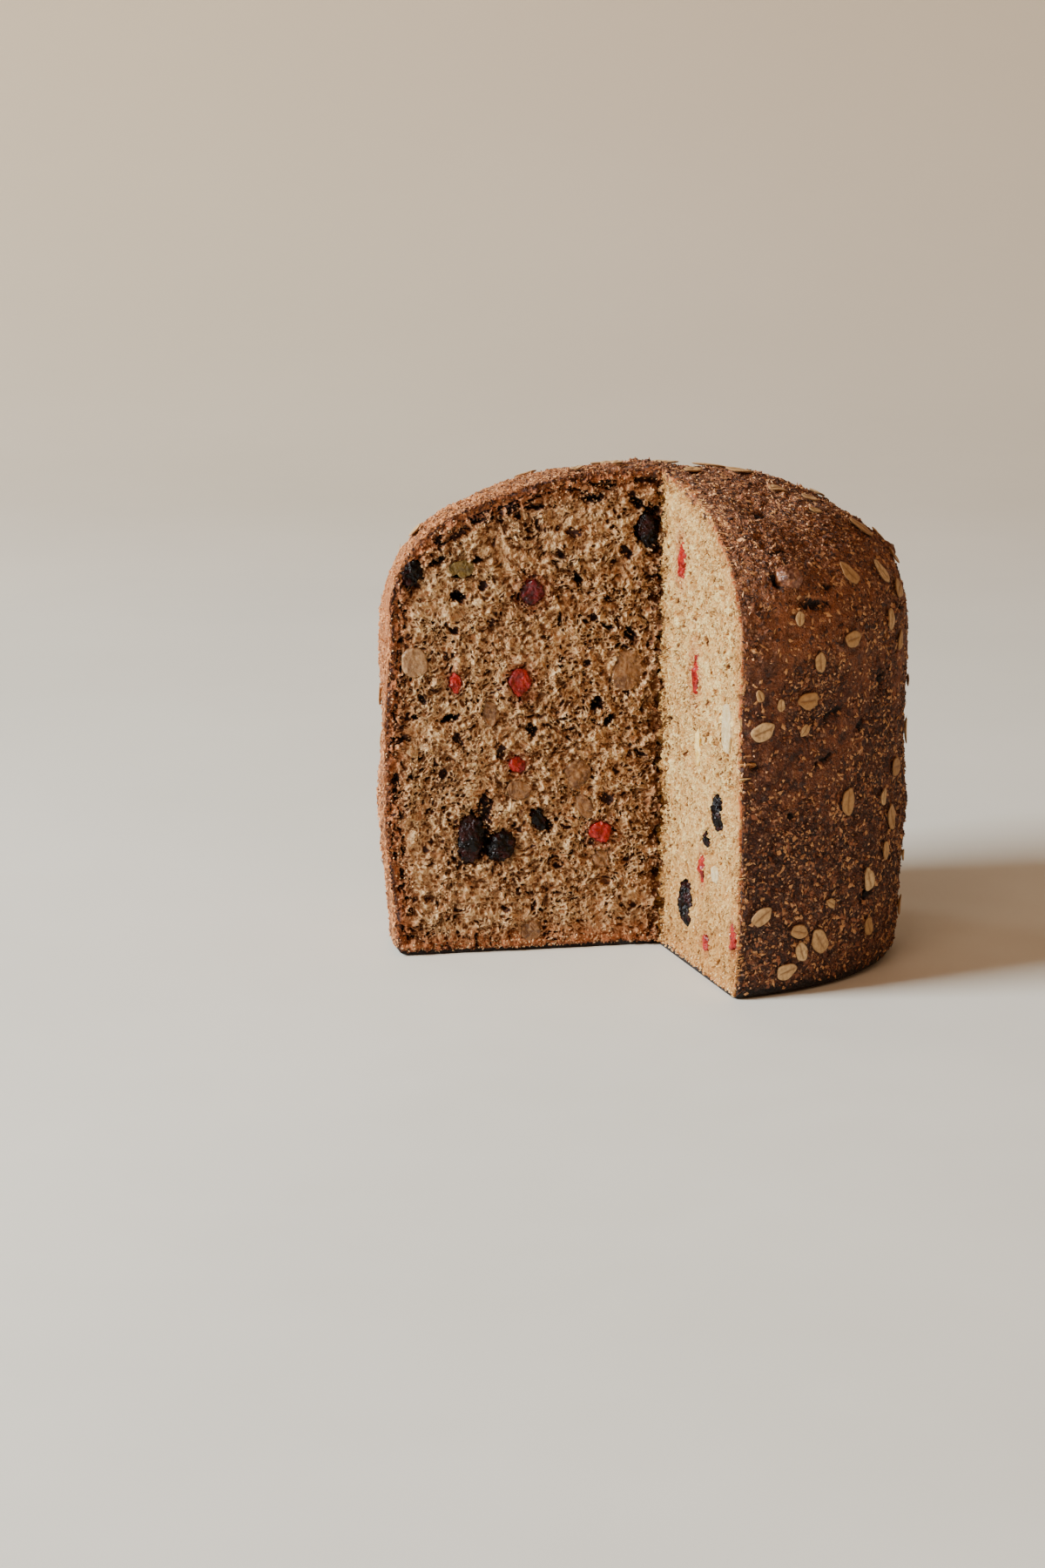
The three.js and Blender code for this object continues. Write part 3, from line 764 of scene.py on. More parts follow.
def foam(tree, flat, look):
    """Bubbles in the flat cut at these points: their depth in mm, and a tone for each."""
    half = (0.5, 0.5, 0.5)
    bend = make(tree, "ShaderNodeTexNoise", {"Vector": flat, "Scale": 0.13, "Detail": 1.0}).outputs[1]
    bend = scaled(tree, vectors(tree, "SUBTRACT", bend, half), 7)
    wobble = make(tree, "ShaderNodeTexNoise", {"Vector": flat, "Scale": 0.9, "Detail": 1.0}).outputs[1]
    wobble = scaled(tree, vectors(tree, "SUBTRACT", wobble, half), look["wobble"])
    bent = vectors(tree, "ADD", flat, vectors(tree, "ADD", bend, wobble))
    lean = tuple(look["lean"])
    shorter = times(tree, vectors(tree, "DOT_PRODUCT", bent, lean), look["stretch"])
    shorter = scaled(tree, lean, shorter)
    bent = vectors(tree, "SUBTRACT", bent, shorter)
    wall = cells(tree, bent, look["fine"], "DISTANCE_TO_EDGE")
    pick, tone = split_colour(tree, cells(tree, bent, look["fine"], output="Color"))
    cup = times(tree, remap(tree, wall, 0.05, 0.3), remap(tree, pick, 0, 1, 0.15, 1.15))
    wide = cells(tree, bent, 0.5, "DISTANCE_TO_EDGE")
    wide_pick, _ = split_colour(tree, cells(tree, bent, 0.5, output="Color"))
    wide = times(tree, remap(tree, wide, 0.13, 0.36, 0, 1.9), remap(
        tree, wide_pick, look["opened"], 0.6 * look["opened"]))
    under = stored(tree, "under_skin")
    bubbles = sums(tree, "MAXIMUM", cup, wide)
    bubbles = times(tree, bubbles, remap(tree, under, 0.4, 1.3, 0.35, look["bold"]))
    dense = drift(tree, flat, 0.09, 2, 0.4, 0.6, 0.55, 1.1)
    bubbles = times(tree, bubbles, dense)
    bubbles = times(tree, bubbles, stored(tree, "coarse"))
    skin = sums(tree, "ADD", stored(tree, "under_crust"), wandering(tree, flat, 0.3, 2.4))
    layers = make(tree, "ShaderNodeCombineXYZ", {
        0: times(tree, stored(tree, "up_skin"), 0.3), 1: times(tree, skin, 0.75)
    }).outputs[0]
    split = remap(tree, noise(tree, layers, 1, 3, 0.62), 0.53, 0.6, 0, 2.2 * look["split"])
    split = times(tree, split, times(
        tree, remap(tree, skin, 1.4, 2.2), remap(tree, skin, 6, 4)))
    depth = sums(tree, "MAXIMUM", bubbles, split)
    return sums(tree, "MAXIMUM", depth, stored(tree, "hole")), tone


def crumb_relief(face, look):
    inward = tuple(into_face(face))

    def build(tree, points, normal):
        depth, _ = foam(tree, points, look)
        hills = remap(tree, noise(tree, points, 0.22, 2, 0.6), 0.32, 0.68, look["rough"], -look["rough"])
        hills = times(tree, hills, remap(tree, stored(tree, "corner"), 0, 1, 1, 2.2))
        torn = remap(tree, tears(tree, points), 0.3, 0.7, 1.1, -1.1)
        bits = remap(tree, noise(tree, points, 1.4, 2, 0.6), 0.35, 0.65, 0.25, -0.25)
        uneven = sums(tree, "ADD", hills, times(tree, sums(tree, "ADD", torn, bits), look["bold"]))
        uneven = times(tree, uneven, remap(tree, stored(tree, "under_skin"), 0.3, 2.5, 0.35, 1))
        uneven = times(tree, uneven, remap(tree, stored(tree, "round_fruit"), 0, 0.6, 1, 0.4))
        total = sums(tree, "ADD", depth, uneven)
        total = sums(tree, "ADD", total, stored(tree, "round_fruit"))
        return scaled(tree, inward, total)

    return build


def crumb_sheet(name, face, step, holes, look):
    """One cut face of crumb: a fine flat sheet opened into foam, trimmed at the skin and backed."""
    low, high, near, reach = 0.5, 129.5, -4.5, 76.0
    columns, rows = int((reach - near) / step), int((high - low) / step)
    bpy.ops.object.select_all(action="DESELECT")
    bpy.ops.mesh.primitive_grid_add(x_subdivisions=columns, y_subdivisions=rows, size=1)
    sheet = bpy.context.object
    sheet.name = sheet.data.name = name
    flat = read_points(sheet) * MM
    along = near + (flat[:, 0] + 0.5) * (reach - near)
    height = low + (flat[:, 1] + 0.5) * (high - low)
    flat = on_face(face, along, height)
    move_points(sheet, flat)
    under = inside_by(flat)
    store(sheet, "under_skin", under)
    store(sheet, "under_crust", inside_by(flat, base=False))
    store(sheet, "up_skin", skin_run(flat))
    corner = np.exp(-((along / 4) ** 2))
    store(sheet, "corner", corner)
    store(sheet, "coarse", 1 + look["coarser_corner"] * np.clip(1 - (along - 1) / 9, 0, 1))
    store(sheet, "hole", hole_depth(along, height, holes))
    round_fruit, stain = np.zeros(len(flat)), np.zeros(len(flat))
    for fruit, a, z, half_width, half_height in fruit_on(face):
        away = np.hypot((along - a) / half_width, (height - z) / half_height)
        near = np.clip((1.15 - away - 0.5 * ragged(along, height)) * 2.5, 0, 1)
        round_fruit = np.maximum(round_fruit, BESIDE_FRUIT[fruit.split("_")[0]] * near)
        if fruit.startswith("cherry"):
            stain = np.maximum(stain, np.clip(1.9 - away - ragged(along, height), 0, 1))
    store(sheet, "round_fruit", round_fruit)
    store(sheet, "stain", stain)
    relief(sheet, name + " foam", crumb_relief(face, look))
    alone(sheet)
    bpy.ops.object.mode_set(mode="EDIT")
    bpy.ops.mesh.select_mode(type="VERT")
    bpy.ops.mesh.select_all(action="DESELECT")
    bpy.ops.object.mode_set(mode="OBJECT")
    raised = np.where(height < 4, 0.6, 0)
    sheet.data.vertices.foreach_set("select", under - raised + 0.7 * ragged(along, height) < UNDER_SKIN)
    bpy.ops.object.mode_set(mode="EDIT")
    bpy.ops.mesh.delete(type="VERT")
    bpy.ops.mesh.select_all(action="DESELECT")
    bpy.ops.mesh.select_non_manifold(extend=False)
    bpy.ops.mesh.extrude_edges_move(
        TRANSFORM_OT_translate={"value": tuple(into_face(face) * CRUMB_DEEP * MM)}
    )
    bpy.ops.transform.resize(value=(0.96, 0.96, 0.985), center_override=tuple(on_face(face, 25, 50) * MM))
    bpy.ops.mesh.edge_face_add()
    bpy.ops.mesh.select_all(action="SELECT")
    bpy.ops.mesh.normals_make_consistent(inside=False)
    bpy.ops.object.mode_set(mode="OBJECT")
    alone(sheet)
    bpy.ops.object.shade_smooth()
    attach(sheet, "root")
    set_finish(sheet, "bread")
    return sheet


def crumb_finish(name, face, look, wall, body, pore, toast):
    """Bread: pale thin walls, cups and bubbles painted browner and darker the deeper they go as painted
    shade, and toasted towards the crust.
    """
    material, tree, shader, points = finish_named(name)
    inward = into_face(face)
    behind = vectors(tree, "DOT_PRODUCT", vectors(tree, "SUBTRACT", points, tuple(CORNER)), tuple(inward))
    flat = vectors(tree, "SUBTRACT", points, scaled(tree, tuple(inward), behind))
    depth, tone = foam(tree, flat, look)
    under = stored(tree, "under_skin")
    deep_tone = blend(tree, 0.6, body, pore)
    grain = noise(tree, points, 1.8, 4, 0.65)
    clumps = remap(tree, noise(tree, points, 0.22, 3, 0.6), 0.4, 0.6)
    bread = blend(tree, clumps, blend(tree, 0.5, wall, body), wall)
    bread = blend(tree, remap(tree, tone, 0.55, 0.85, 0, 0.5), bread, body)
    bread = blend(tree, remap(tree, grain, 0.48, 0.66, 0, 0.6), bread, body)
    flecks = remap(tree, noise(tree, points, 0.6, 3, 0.75), 0.5, 0.62, 0, look["flecks"])
    bread = blend(tree, flecks, bread, blend(tree, 0.3, body, pore))
    low = axis(tree, points, 2)
    bread = blend(tree, remap(tree, low, 40, 8, 0, look["browner_low"]), bread, body)
    # Painted shade: the cups are painted browner as they deepen
    bread = blend(tree, remap(tree, depth, 0.05, 0.5 * look["bold"], 0, 0.9), bread, body)
    # Painted shade in the torn hollows
    bread = blend(tree, remap(tree, tears(tree, flat), 0.51, 0.39, 0, 0.85), bread, deep_tone)
    bread = blend(tree, times(tree, remap(tree, under, 7.5, 2), look["toasted"]), bread, toast)
    bread = blend(tree, times(tree, stored(tree, "stain"), 0.55), bread, "a83c22")
    # Painted shade: deeper bubbles are painted dark, and the deepest holes near black
    bread = blend(tree, remap(tree, depth, 0.4 * look["bold"], 0.92 * look["bold"]), bread, pore)
    bread = blend(tree, remap(tree, depth, 1.2, 2.6), bread, "120906")
    rust = noise(tree, points, 1.3, 3, 0.6)
    rust = blend(tree, remap(tree, rust, 0.45, 0.6), "b86a38", "4a2212")
    bread = blend(tree, times(tree, remap(tree, under, 2.2, 0.7), look["toasted"]), bread, rust)
    # Painted shade along the inner corner where the two cut faces meet
    near = times(tree, stored(tree, "corner"), remap(tree, tone, 0.1, 0.5, 0.2, 0.8))
    bread = blend(tree, near, bread, blend(tree, 0.3, body, pore))
    # A line along the crust in the look's rim colour: painted shadow on the left face, toast orange on the
    # right
    line = times(tree, remap(tree, under, 1.9, 0.9), remap(tree, under, 0.3, 0.6))
    bread = blend(tree, times(tree, line, remap(tree, tone, 0.2, 0.6)), bread, look["rim"])
    painted(tree, shader, points, bread, 1, 0.6, 0.85)
    height = sums(tree, "SUBTRACT", times(tree, grain, 0.6), times(tree, depth, 0.8))
    bumped(tree, shader, height, 1.3, 1)
    return material


LEFT_LOOK = {
    "fine": 0.95, "opened": 0.3, "bold": 1.0, "rough": 0.75, "wobble": 0.7, "split": 1.0, "toasted": 0.85,
    "stretch": 0.18, "lean": -0.77 * along_face("left") + 0.64 * np.array([0, 0, 1]), "coarser_corner": 0.4,
    # The rim colour here is a painted shadow line along the crust
    "rim": "3a170b", "flecks": 0.2, "browner_low": 0.12,
}
crumb_left = crumb_sheet("crumb_left", "left", LEFT_STEP, LEFT_HOLES, LEFT_LOOK)
# The left face's browner colours and darker pores are painted shade: the same bread as the right, turned
# from the window
crumb_left.data.materials.append(crumb_finish(
    "brown crumb in painted shade", "left", LEFT_LOOK, "ffdea6", "ae6830", "3e190b", "b4602a"
))


# The crumb on the right of the cut. The same bread, cut more cleanly, so its pores are shallow. It faces
# the light, and its colours are painted lighter and creamier than the left's: painted light.
RIGHT_STEP = 0.34
RIGHT_HOLES = [
    (1, 111, 1.2, 2.2, 0, 2.4),
    (0.5, 97, 1.8, 1.4, 20, 2.4),
    (0.6, 84, 1.3, 2.4, 0, 2.4),
    (1.2, 71, 2.2, 1.4, -15, 2.4),
    (0.6, 52, 1.6, 2.4, 10, 2.4),
    (1, 34, 2, 1.8, 0, 2.4),
    (0.6, 23, 1.4, 2.2, 15, 2.4),
    (0.8, 11, 1.8, 1.4, 0, 2.4),
    (3, 60, 0.9, 1.6, 10, 2),
    (20, 91, 0.5, 0.6, 0, 1.5),
    (4, 44, 1, 2, -10, 2.2),
    (31, 71, 0.5, 1, 20, 1),
]
RIGHT_LOOK = {
    "fine": 0.95, "opened": 0.2, "bold": 0.75, "rough": 0.45, "wobble": 0.6, "split": 0.3, "toasted": 0.25,
    "stretch": 0.3, "lean": np.array([0, 0, 1]), "coarser_corner": 2.1, "rim": "b8602a",
    "flecks": 0.75, "browner_low": 0.6,
}
crumb_right = crumb_sheet("crumb_right", "right", RIGHT_STEP, RIGHT_HOLES, RIGHT_LOOK)
crumb_right.data.materials.append(crumb_finish(
    "cream crumb in painted light", "right", RIGHT_LOOK, "fbe096", "c98a3c", "7e4716", "c4702c"
))


# Oat flakes. Rolled oats, most of them 4 to 8 mm long, pressed on the dough before baking. Each is a
# thin oval with the groove of the grain down its middle, baked pale gold. Its edges are painted darker,
# toasted and in painted shade where it meets the crust, and its groove is painted dark with shade.
FLAKE_LENGTH = 6.6
FLAKE_PROUD = 0.5
FLAKE_SPACING = 8.5
RULED_FLAKES = 72
CUT_CLEARANCE_DEG = 4.5
# Azimuth, distance up the crust, turn from upright in degrees, length against the usual one
SHOWN_FLAKES = [
    (357, 165.6, 80, 1.1),
    (50, 151, 95, 1.5),
    (347.7, 142.4, 70, 1),
    (17, 129, 80, 1),
    (336, 129, 50, 0.6),
    (349.7, 118.5, 20, 1.2),
    (5.6, 112, 15, 0.8),
    (325.1, 108.2, 25, 1.1),
    (340, 106, 15, 1.1),
    (336.9, 93.5, -20, 0.9),
    (319.5, 91.5, -85, 0.95),
    (305.4, 98.6, -20, 0.6),
    (309.7, 87, 5, 0.8),
    (307, 77.3, 90, 1),
    (300, 77, 0, 0.5),
    (294.9, 80, 20, 0.5),
    (296, 70.5, -70, 1.05),
    (306.3, 69.7, -40, 0.55),
    (318.6, 49.3, -5, 1.1),
    (333.5, 47.3, -15, 0.7),
    (334.7, 32.6, 10, 0.8),
    (326.8, 27, 25, 1.05),
    (296, 22.5, -55, 0.95),
    (305.4, 17.2, 75, 0.85),
    (306.5, 11.6, 20, 0.85),
    (311.8, 13.4, 35, 1.15),
    (328.5, 13.8, 30, 0.85),
    (303, 6.8, -75, 0.95),
    (314.7, 23, 60, 0.55),
    (165, 171, 90, 0.7),
    (185, 115, 50, 0.8),
]


def draws(state):
    while True:
        state = (state * 1664525 + 1013904223) % 4294967296
        yield state / 4294967296


def all_flakes():
    """Every flake's place: those with places of their own, then the rest by an even spread."""
    flakes = list(SHOWN_FLAKES)
    draw = draws(20)
    places = [crust_point(a, c)[0] for a, c, _, _ in flakes]
    first = FACE_DEG["right"] + 50
    span = 360 + FACE_DEG["left"] - CUT_CLEARANCE_DEG - first
    for i in range(1, 900):
        if len(flakes) >= len(SHOWN_FLAKES) + RULED_FLAKES:
            break
        azimuth = (first + span * ((i * 0.754877666) % 1)) % 360
        climb = 7 + (STRING_LENGTH - 12) * ((i * 0.569840291) % 1)
        turn = 360 * next(draw)
        size = 0.62 + 0.55 * next(draw)
        keep = next(draw) < on_outline(climb)[0] / LOAF_RADIUS
        place = crust_point(azimuth, climb)[0]
        if keep and all(np.linalg.norm(p - place) > FLAKE_SPACING for p in places):
            flakes.append((azimuth, climb, turn, size))
            places.append(place)
    return flakes


bpy.ops.object.select_all(action="DESELECT")
bpy.ops.mesh.primitive_uv_sphere_add(segments=28, ring_count=12, radius=1)
flake_model = bpy.context.object
flake_ball = read_points(flake_model) * MM


def flake_points(azimuth, climb, turn, size, seed):
    """The flake's ball flattened to an uneven oval with a groove, laid on the crust and turned."""
    at, out, up = crust_point(azimuth, climb)
    b = flake_ball
    half = FLAKE_LENGTH * size / 2
    angle = np.arctan2(b[:, 0], b[:, 1])
    uneven = 1 + 0.05 * np.sin(3 * angle + seed) + 0.04 * np.sin(5 * angle + 2.1 * seed)
    narrow = 0.68 - 0.08 * b[:, 1]
    x = half * narrow * b[:, 0] * uneven
    y = half * b[:, 1] * uneven
    rim = np.hypot(b[:, 0], b[:, 1])
    groove = 0.3 * np.exp(-((b[:, 0] / 0.15) ** 2)) * np.clip(1.1 - np.abs(b[:, 1]), 0, 1)
    curl = 0.25 * math.sin(2.3 * seed) * b[:, 0] * b[:, 1] + 0.18 * np.cos(1.7 * seed) * b[:, 1] ** 2
    thick = np.where(b[:, 2] > 0, 0.3 * np.abs(b[:, 2]) ** 0.5 - groove * (rim < 0.97), 0.45 * b[:, 2])
    z = FLAKE_PROUD + thick * (0.8 + 0.2 * size) + curl
    t = math.radians(turn)
    x, y = x * math.cos(t) - y * math.sin(t), x * math.sin(t) + y * math.cos(t)
    east = np.cross(up, out)
    return at + x[:, None] * east + y[:, None] * up + z[:, None] * out


def joined(pieces, name):
    bpy.ops.object.select_all(action="DESELECT")
    for piece in pieces:
        piece.select_set(True)
    bpy.context.view_layer.objects.active = pieces[0]
    bpy.ops.object.join()
    whole = bpy.context.object
    whole.name = whole.data.name = name
    return whole


flakes = []
for seed, (azimuth, climb, turn, size) in enumerate(all_flakes()):
    copy = copied(flake_model, "flake")
    move_points(copy, flake_points(azimuth, climb, turn, size, seed))
    store(copy, "pale", np.full(len(flake_ball), (seed * 0.618034) % 1))
    store(copy, "rim", np.hypot(flake_ball[:, 0], flake_ball[:, 1]) ** 4)
    store(copy, "crease", np.exp(-((flake_ball[:, 0] / 0.12) ** 2)) * (np.abs(flake_ball[:, 1]) < 0.8))
    flakes.append(copy)
bpy.data.objects.remove(flake_model)
oats = joined(flakes, "oat_flakes")
bpy.ops.object.shade_smooth_by_angle(angle=math.radians(60))
oat_finish, tree, shader, points = finish_named("baked oat")
oat = blend(tree, stored(tree, "pale"), "b88a50", "e3c08a")
oat = blend(tree, drift(tree, points, 0.9, 3, 0.42, 0.7, 0, 0.7), oat, "94683a")
# Painted shade: the groove is painted darker
oat = blend(tree, times(tree, stored(tree, "crease"), 0.75), oat, "7a4f28")
# The edges are painted darker: toasted, and painted shade where the flake meets the crust
oat = blend(tree, remap(tree, stored(tree, "rim"), 0.6, 1, 0, 0.75), oat, "7b5029")
painted(tree, shader, points, oat, 1.2, 0.5, 0.75)
bumped(tree, shader, noise(tree, points, 2.2, 3, 0.6), 0.15, 0.8)
oats.data.materials.clear()
oats.data.materials.append(oat_finish)
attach(oats, "root")
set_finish(oats, "bread")


# Raisins, candied cherries and candied peel. They are kneaded into the dough whole or diced. The knife
# passes through them or drags them a little out of the crumb, so they lie nearly flush with the cut.
def fruit_copy(node_name):
    """A fine copy of a fruit's solid: merged, then subdivided smooth."""
    piece = copied(frame["nodes"][node_name], node_name + "_piece")
    alone(piece)
    bpy.ops.object.mode_set(mode="EDIT")
    bpy.ops.mesh.select_all(action="SELECT")
    bpy.ops.mesh.remove_doubles(threshold=0.00001)
    bpy.ops.mesh.tris_convert_to_quads()
    bpy.ops.object.mode_set(mode="OBJECT")
    smooth = piece.modifiers.new("smooth", "SUBSURF")
    smooth.levels = smooth.render_levels = FRUIT_FINENESS
    finish_modifiers(piece)
    return piece


FRUIT_FINENESS = 3
DICE_SIDES = 34
DICE_BLUNT = 0.22
FACE_OF = {name: face for face in FACE_DEG for name, *_ in fruit_on(face)}


def cut_flat(piece, face, proud):
    """Presses what stands out of a cut face back, as the knife leaves it."""
    points = read_points(piece)
    over = np.maximum((CORNER - points) @ into_face(face) - proud, 0)
    move_points(piece, points + 0.85 * over[:, None] * into_face(face))


def wrinkles(depth, per_mm):
    def build(tree, points, normal):
        inputs = {"Vector": points, "Scale": per_mm, "Detail": 2.0, "Distortion": 1.2}
        folds = make(tree, "ShaderNodeTexNoise", inputs).outputs[0]
        height = remap(tree, folds, 0.35, 0.65, -0.7 * depth, depth)
        return scaled(tree, normal, height)

    return build


raisin_finish, tree, shader, points = finish_named("raisin skin")
skin = blend(tree, drift(tree, points, 0.35, 2, 0.48, 0.7), "040203", "30100f")
tree.links.new(skin, shader.inputs["Base Color"])
tree.links.new(drift(tree, points, 0.6, 2, 0.35, 0.65, 0.06, 0.22), shader.inputs["Roughness"])
shader.inputs["Specular IOR Level"].default_value = 0.2
bumped(tree, shader, noise(tree, points, 0.9, 3, 0.5), 0.8, 0.9)


def candied(name, main, second, third, radius, patch_at=0.3):
    """Sugared fruit flesh: three tones in patches, a wet surface, light passing a little way in."""
    finish, tree, shader, points = finish_named(name)
    flesh = blend(tree, remap(tree, noise(tree, points, patch_at, 2), 0.42, 0.6), main, second)
    flesh = blend(tree, drift(tree, points, 1.1, 3, 0.52, 0.68, 0, 0.6), flesh, third)
    painted(tree, shader, points, flesh, 1, 0.22, 0.5)
    shader.inputs["Specular IOR Level"].default_value = 0.35
    shader.inputs["Subsurface Weight"].default_value = 0.25
    shader.inputs["Subsurface Radius"].default_value = radius
    shader.inputs["Subsurface Scale"].default_value = 1
    bumped(tree, shader, noise(tree, points, 0.9, 3, 0.5), 0.5, 0.7)
    return finish


red_depth, gold_depth = (0.003, 0.0006, 0.0004), (0.0025, 0.0014, 0.0007)
cherry_finish = candied("candied cherry", "9c1813", "6c0e0e", "b8402e", red_depth)
dark_cherry = candied("dark candied cherry", "5e1016", "2c070b", "7a1a1c", red_depth)
peel_finish = candied("candied peel", "8c6440", "65442b", "b08a60", gold_depth)
green_peel = candied("green candied peel", "6e5a2c", "4a3a1c", "8c7140", gold_depth)
baked_peel = candied("baked peel", "855236", "4c2a1c", "ad7a54", gold_depth)
citron_finish = candied("candied citron", "a8845e", "8e6c4c", "c09c74", gold_depth)
pale_citron = candied("pale candied citron", "c9b48a", "b79f72", "d8c8a4", gold_depth)
yellow_peel = candied("yellow candied peel", "e6c57c", "cfa557", "f0dca6", gold_depth)

# Finish, slot, depth of the folds in mm, how many to the mm, how far it stands out of a cut face
FRUIT_KINDS = {
    "raisin": (raisin_finish, "raisin", 0.6, 0.5, 1.2),
    "cherry": (cherry_finish, "candied_cherry", 0.3, 0.4, 0.35),
    "peel": (peel_finish, "candied_peel", 0.25, 0.35, 0.1),
    "citron": (citron_finish, "candied_citron", 0.2, 0.3, 0.15),
}
OWN_FINISH = {
    "cherry_upper": dark_cherry,
    "peel_green": green_peel,
    "peel_knob": baked_peel,
    "peel_browned": baked_peel,
    "peel_sliver": yellow_peel,
    "citron_outer": pale_citron,
    "citron_low": pale_citron,
}


def diced(piece, name):
    """Gives a piece the uneven flat sides and blunt edges of fruit cut into dice."""
    relief(piece, name + " lopsided", wrinkles(0.7, 0.17))
    fewer = piece.modifiers.new("flat sides", "DECIMATE")
    fewer.ratio = DICE_SIDES / len(piece.data.polygons)
    finish_modifiers(piece)
    blunt = piece.modifiers.new("blunt edges", "BEVEL")
    blunt.width = DICE_BLUNT * MM
    blunt.segments = 2
    finish_modifiers(piece)
    finer = piece.modifiers.new("finer", "SUBSURF")
    finer.subdivision_type = "SIMPLE"
    finer.levels = finer.render_levels = FRUIT_FINENESS
    finish_modifiers(piece)


for node_name in sorted(frame["nodes"]):
    if node_name == "loaf":
        continue
    kind = node_name.split("_")[0]
    finish, slot, depth, per_mm, proud = FRUIT_KINDS[kind]
    piece = fruit_copy(node_name)
    if kind in ("cherry", "peel"):
        diced(piece, node_name)
    if node_name in FACE_OF:
        cut_flat(piece, FACE_OF[node_name], proud)
    relief(piece, node_name + " wrinkles", wrinkles(depth, per_mm))
    alone(piece)
    bpy.ops.object.shade_smooth()
    piece.data.materials.clear()
    piece.data.materials.append(OWN_FINISH.get(node_name, finish))
    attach(piece, "root")
    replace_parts(piece, node_name)
    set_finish(piece, slot)


# Crumbs and husks. The knife leaves small crumbs hanging on both cut faces, most along the bottom, and
# slivers of bran stand up from the crust. Each crumb is an uneven shard under 1 mm, each husk a curl.
# Half sizes in mm
SMALLEST_CRUMB, LARGEST_CRUMB = (0.14, 0.12, 0.12), (0.46, 0.36, 0.36)


def on_cut(face, most, along_base):
    """Crumbs per mm2 on the front of a cut face, more of them along the bottom."""
    out = tuple(-into_face(face))

    def density(tree, points):
        front = vectors(tree, "DOT_PRODUCT", make(tree, "GeometryNodeInputNormal").outputs[0], out)
        z = axis(tree, points, 2)
        share = sums(tree, "MAXIMUM", remap(tree, z, 5, 2.5, 0, along_base), remap(
            tree, noise(tree, points, 0.12, 2), 0.4, 0.6, most / 3, most))
        share = times(tree, share, remap(tree, z, 0.5, 1))
        return times(tree, share, remap(tree, front, 0.1, 0.5))

    return density


# The left face's crumbs are painted darker than the right's: painted shade, as on the face they hang on
for sheet, face, most, dark, light in (
    (crumb_left, "left", 0.5, "a3622f", "f3cf9c"),
    (crumb_right, "right", 0.4, "cf9044", "f7dca4"),
):
    bits = scattered(
        sheet, "loose_crumbs_" + face, 53, on_cut(face, most, 1.2),
        SMALLEST_CRUMB, LARGEST_CRUMB, 1.5, -0.05)
    crumb_bits, tree, shader, points = finish_named("loose crumbs " + face)
    bread = blend(tree, stored(tree, "pale"), dark, light)
    bread = blend(tree, drift(tree, points, 1.6, 3, 0.5, 0.75, 0, 0.5), bread, dark)
    painted(tree, shader, points, bread, 1.2, 0.6, 0.85)
    bumped(tree, shader, noise(tree, points, 3, 3), 0.2, 0.8)
    bits.data.materials.append(crumb_bits)

RULED_HUSKS = 150
# Azimuth, distance up the crust, turn, length in mm, how far its tip stands off
SHOWN_HUSKS = [
    (189, 104, 5, 7, 1.6),
    (190, 84, 60, 3.4, 1.8),
    (342, 142, 30, 3, 1.8),
    (5, 137, 80, 2.6, 1.2),
    (352, 104, 20, 3, 1),
    (358, 60, 5, 3.4, 0.9),
    (354, 38, 10, 2.6, 0.9),
]


def husk_points(azimuth, climb, turn, length, stand):
    at, out, up = crust_point(azimuth, climb)
    east = np.cross(up, out)
    t = math.radians(turn)
    way, side = up * math.cos(t) + east * math.sin(t), east * math.cos(t) - up * math.sin(t)
    u = (husk_ball[:, 1] + 1) / 2
    lift = 0.1 + stand * u**2
    wide = 0.3 * (1 - 0.5 * u) * husk_ball[:, 0] + 0.2 * np.sin(3 * u + turn)
    lift += 0.1 * husk_ball[:, 2]
    return at + (length * u)[:, None] * way + wide[:, None] * side + lift[:, None] * out


bpy.ops.object.select_all(action="DESELECT")
bpy.ops.mesh.primitive_uv_sphere_add(segments=6, ring_count=7, radius=1)
husk_model = bpy.context.object
husk_ball = read_points(husk_model) * MM
husk_places = list(SHOWN_HUSKS)
draw = draws(77)
for _ in range(RULED_HUSKS):
    azimuth = (FACE_DEG["right"] + 3 + 260 * next(draw)) % 360
    climb = 6 + (STRING_LENGTH - 12) * next(draw)
    turn, length, stand = 360 * next(draw), 0.8 + 1.8 * next(draw) ** 2, 0.1 + 0.7 * next(draw) ** 3
    husk_places.append((azimuth, climb, turn, length, stand))
husks = []
for place in husk_places:
    husks.append(copied(husk_model, "husk"))
    move_points(husks[-1], husk_points(*place))
bpy.data.objects.remove(husk_model)
husks = joined(husks, "bran_husks")
husk_finish, tree, shader, points = finish_named("bran husk")
bran = blend(tree, drift(tree, points, 0.15, 2, 0.35, 0.65), "8a552f", "cf9a62")
painted(tree, shader, points, bran, 1.2, 0.55, 0.8)
bumped(tree, shader, noise(tree, points, 3, 3), 0.15, 0.8)
husks.data.materials.clear()
husks.data.materials.append(husk_finish)
alone(husks)
bpy.ops.object.shade_smooth()
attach(husks, "root")
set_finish(husks, "bread")


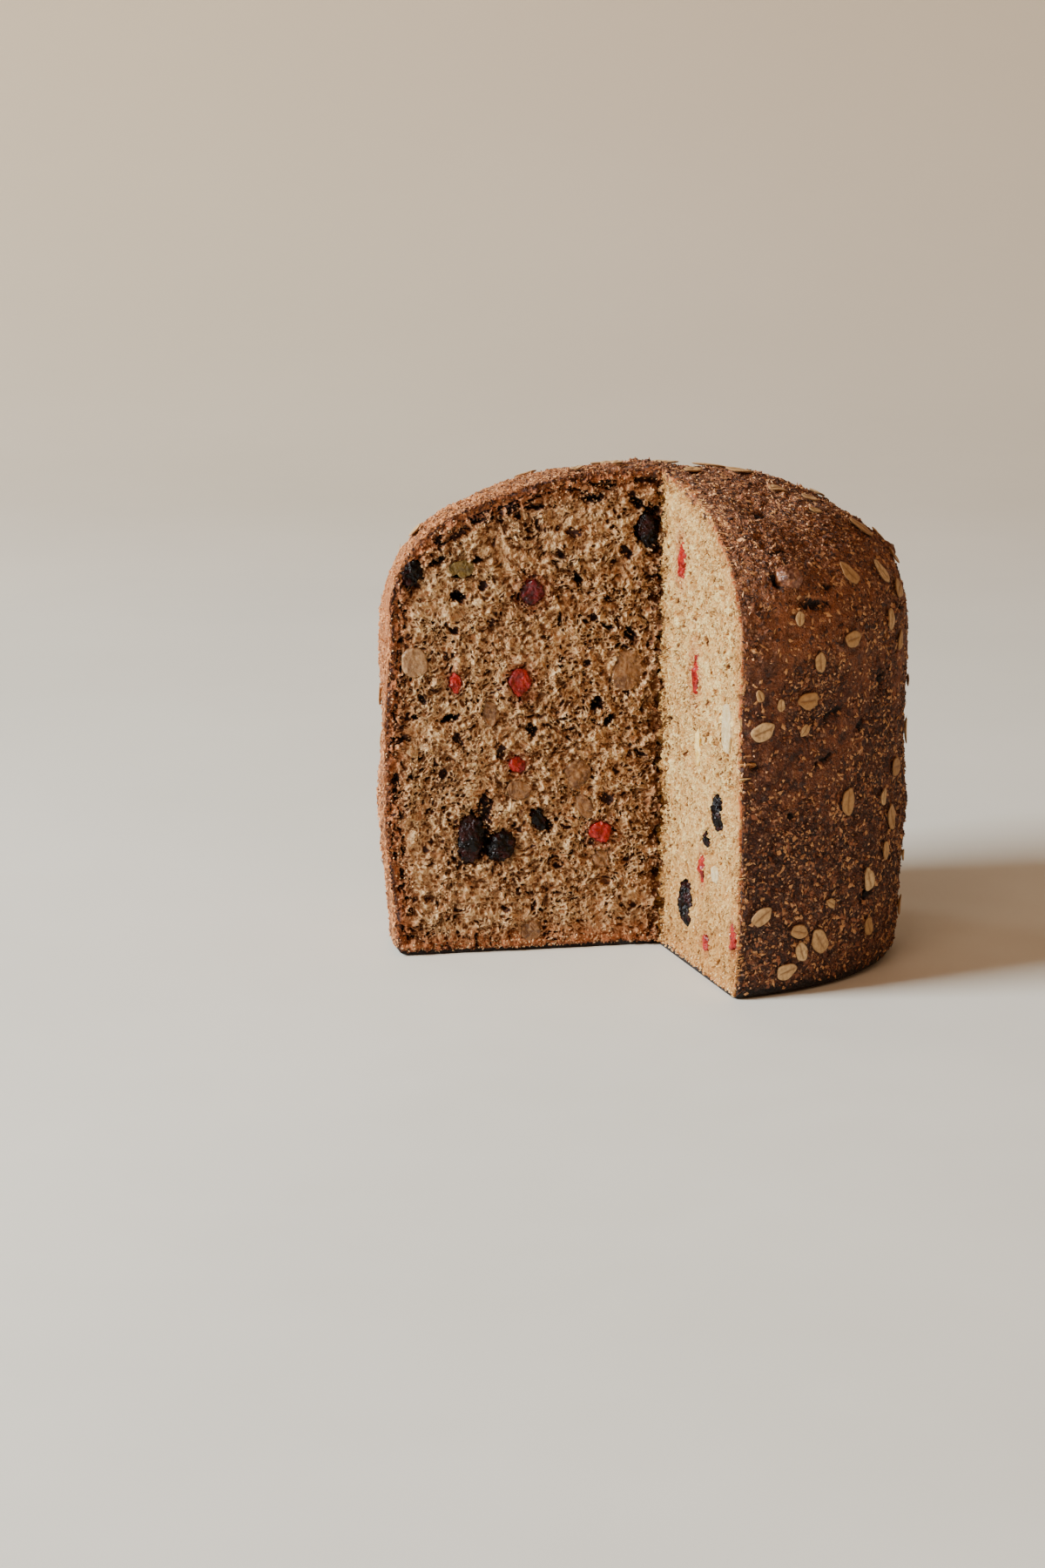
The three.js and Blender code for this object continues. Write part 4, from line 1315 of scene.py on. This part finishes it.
# The table and the wall behind it. One pale matt painted sheet lies flat under the loaf and is swept up
# behind it in a wide bend, so that no hard line shows where the table ends.
TABLE_SIZE = 40
WALL_BEHIND = 1.9
WALL_HEIGHT = 6
WALL_BEND = 1.1
FAR_EDGE = TABLE_SIZE / 2 - 1
bpy.ops.object.select_all(action="DESELECT")
bpy.ops.mesh.primitive_plane_add(size=TABLE_SIZE, location=(0, 0, 0))
sweep = bpy.context.object
sweep.name = sweep.data.name = "table_and_wall"
bpy.ops.object.mode_set(mode="EDIT")
bpy.ops.mesh.select_mode(type="EDGE")
bpy.ops.mesh.select_all(action="DESELECT")
bpy.ops.object.mode_set(mode="OBJECT")
for edge in sweep.data.edges:
    edge.select = all(sweep.data.vertices[i].co.y > FAR_EDGE for i in edge.vertices)
bpy.ops.object.mode_set(mode="EDIT")
bpy.ops.mesh.extrude_edges_move(TRANSFORM_OT_translate={"value": (0, 0, WALL_HEIGHT)})
bpy.ops.object.mode_set(mode="OBJECT")
for vertex in sweep.data.vertices:
    if vertex.co.y > FAR_EDGE:
        vertex.co.y = WALL_BEHIND
bend = sweep.modifiers.new("bend", "BEVEL")
bend.width = WALL_BEND
bend.segments = 24
bend.limit_method = "ANGLE"
finish_modifiers(sweep)
bpy.ops.object.shade_smooth()
table_finish, tree, shader, points = finish_named("pale table")
paint = blend(tree, drift(tree, points, 0.004, 3, 0.3, 0.7), "dcdbd0", "e6e5da")
far = axis(tree, points, 1)
# Painted shade: the paint turns warmer and darker up the wall behind, away from the window
paint = blend(tree, remap(tree, far, 500, 1500), paint, "dacab0")
painted(tree, shader, points, paint, 0.05, 0.6, 0.75)
bumped(tree, shader, noise(tree, points, 0.5, 3), 0.05, 0.3)
sweep.data.materials.append(table_finish)


# Light. A large soft window stands on the left, a little in front of the loaf. A weak warm lamp fills
# from the front, another brightens the wall behind, and the room gives back a little warm light.
def window(name, location, target, size, power, colour):
    bpy.ops.object.light_add(type="AREA", location=location)
    light = bpy.context.object
    light.name = name
    light.data.shape = "RECTANGLE"
    light.data.size, light.data.size_y = size
    light.data.energy = power
    light.data.color = colour
    light.rotation_euler = (Vector(target) - Vector(location)).to_track_quat("-Z", "Y").to_euler()


window("window", (-1.43, -0.59, 0.85), (0, 0, 0.06), (0.7, 0.7), 74, (0.92, 0.975, 1))
window("room", (-0.55, -1.6, 1.4), (0, 0, 0.05), (0.7, 0.6), 8, (1, 0.66, 0.42))
window("wall light", (-1.1, 0.75, 0.9), (-0.35, 1.9, 0.1), (0.6, 0.6), 7, (1, 0.95, 0.84))
world = bpy.data.worlds.new("room")
bpy.context.scene.world = world
world.use_nodes = True
world.node_tree.nodes["Background"].inputs[0].default_value = (1, 0.54, 0.31, 1)
world.node_tree.nodes["Background"].inputs[1].default_value = 0.28
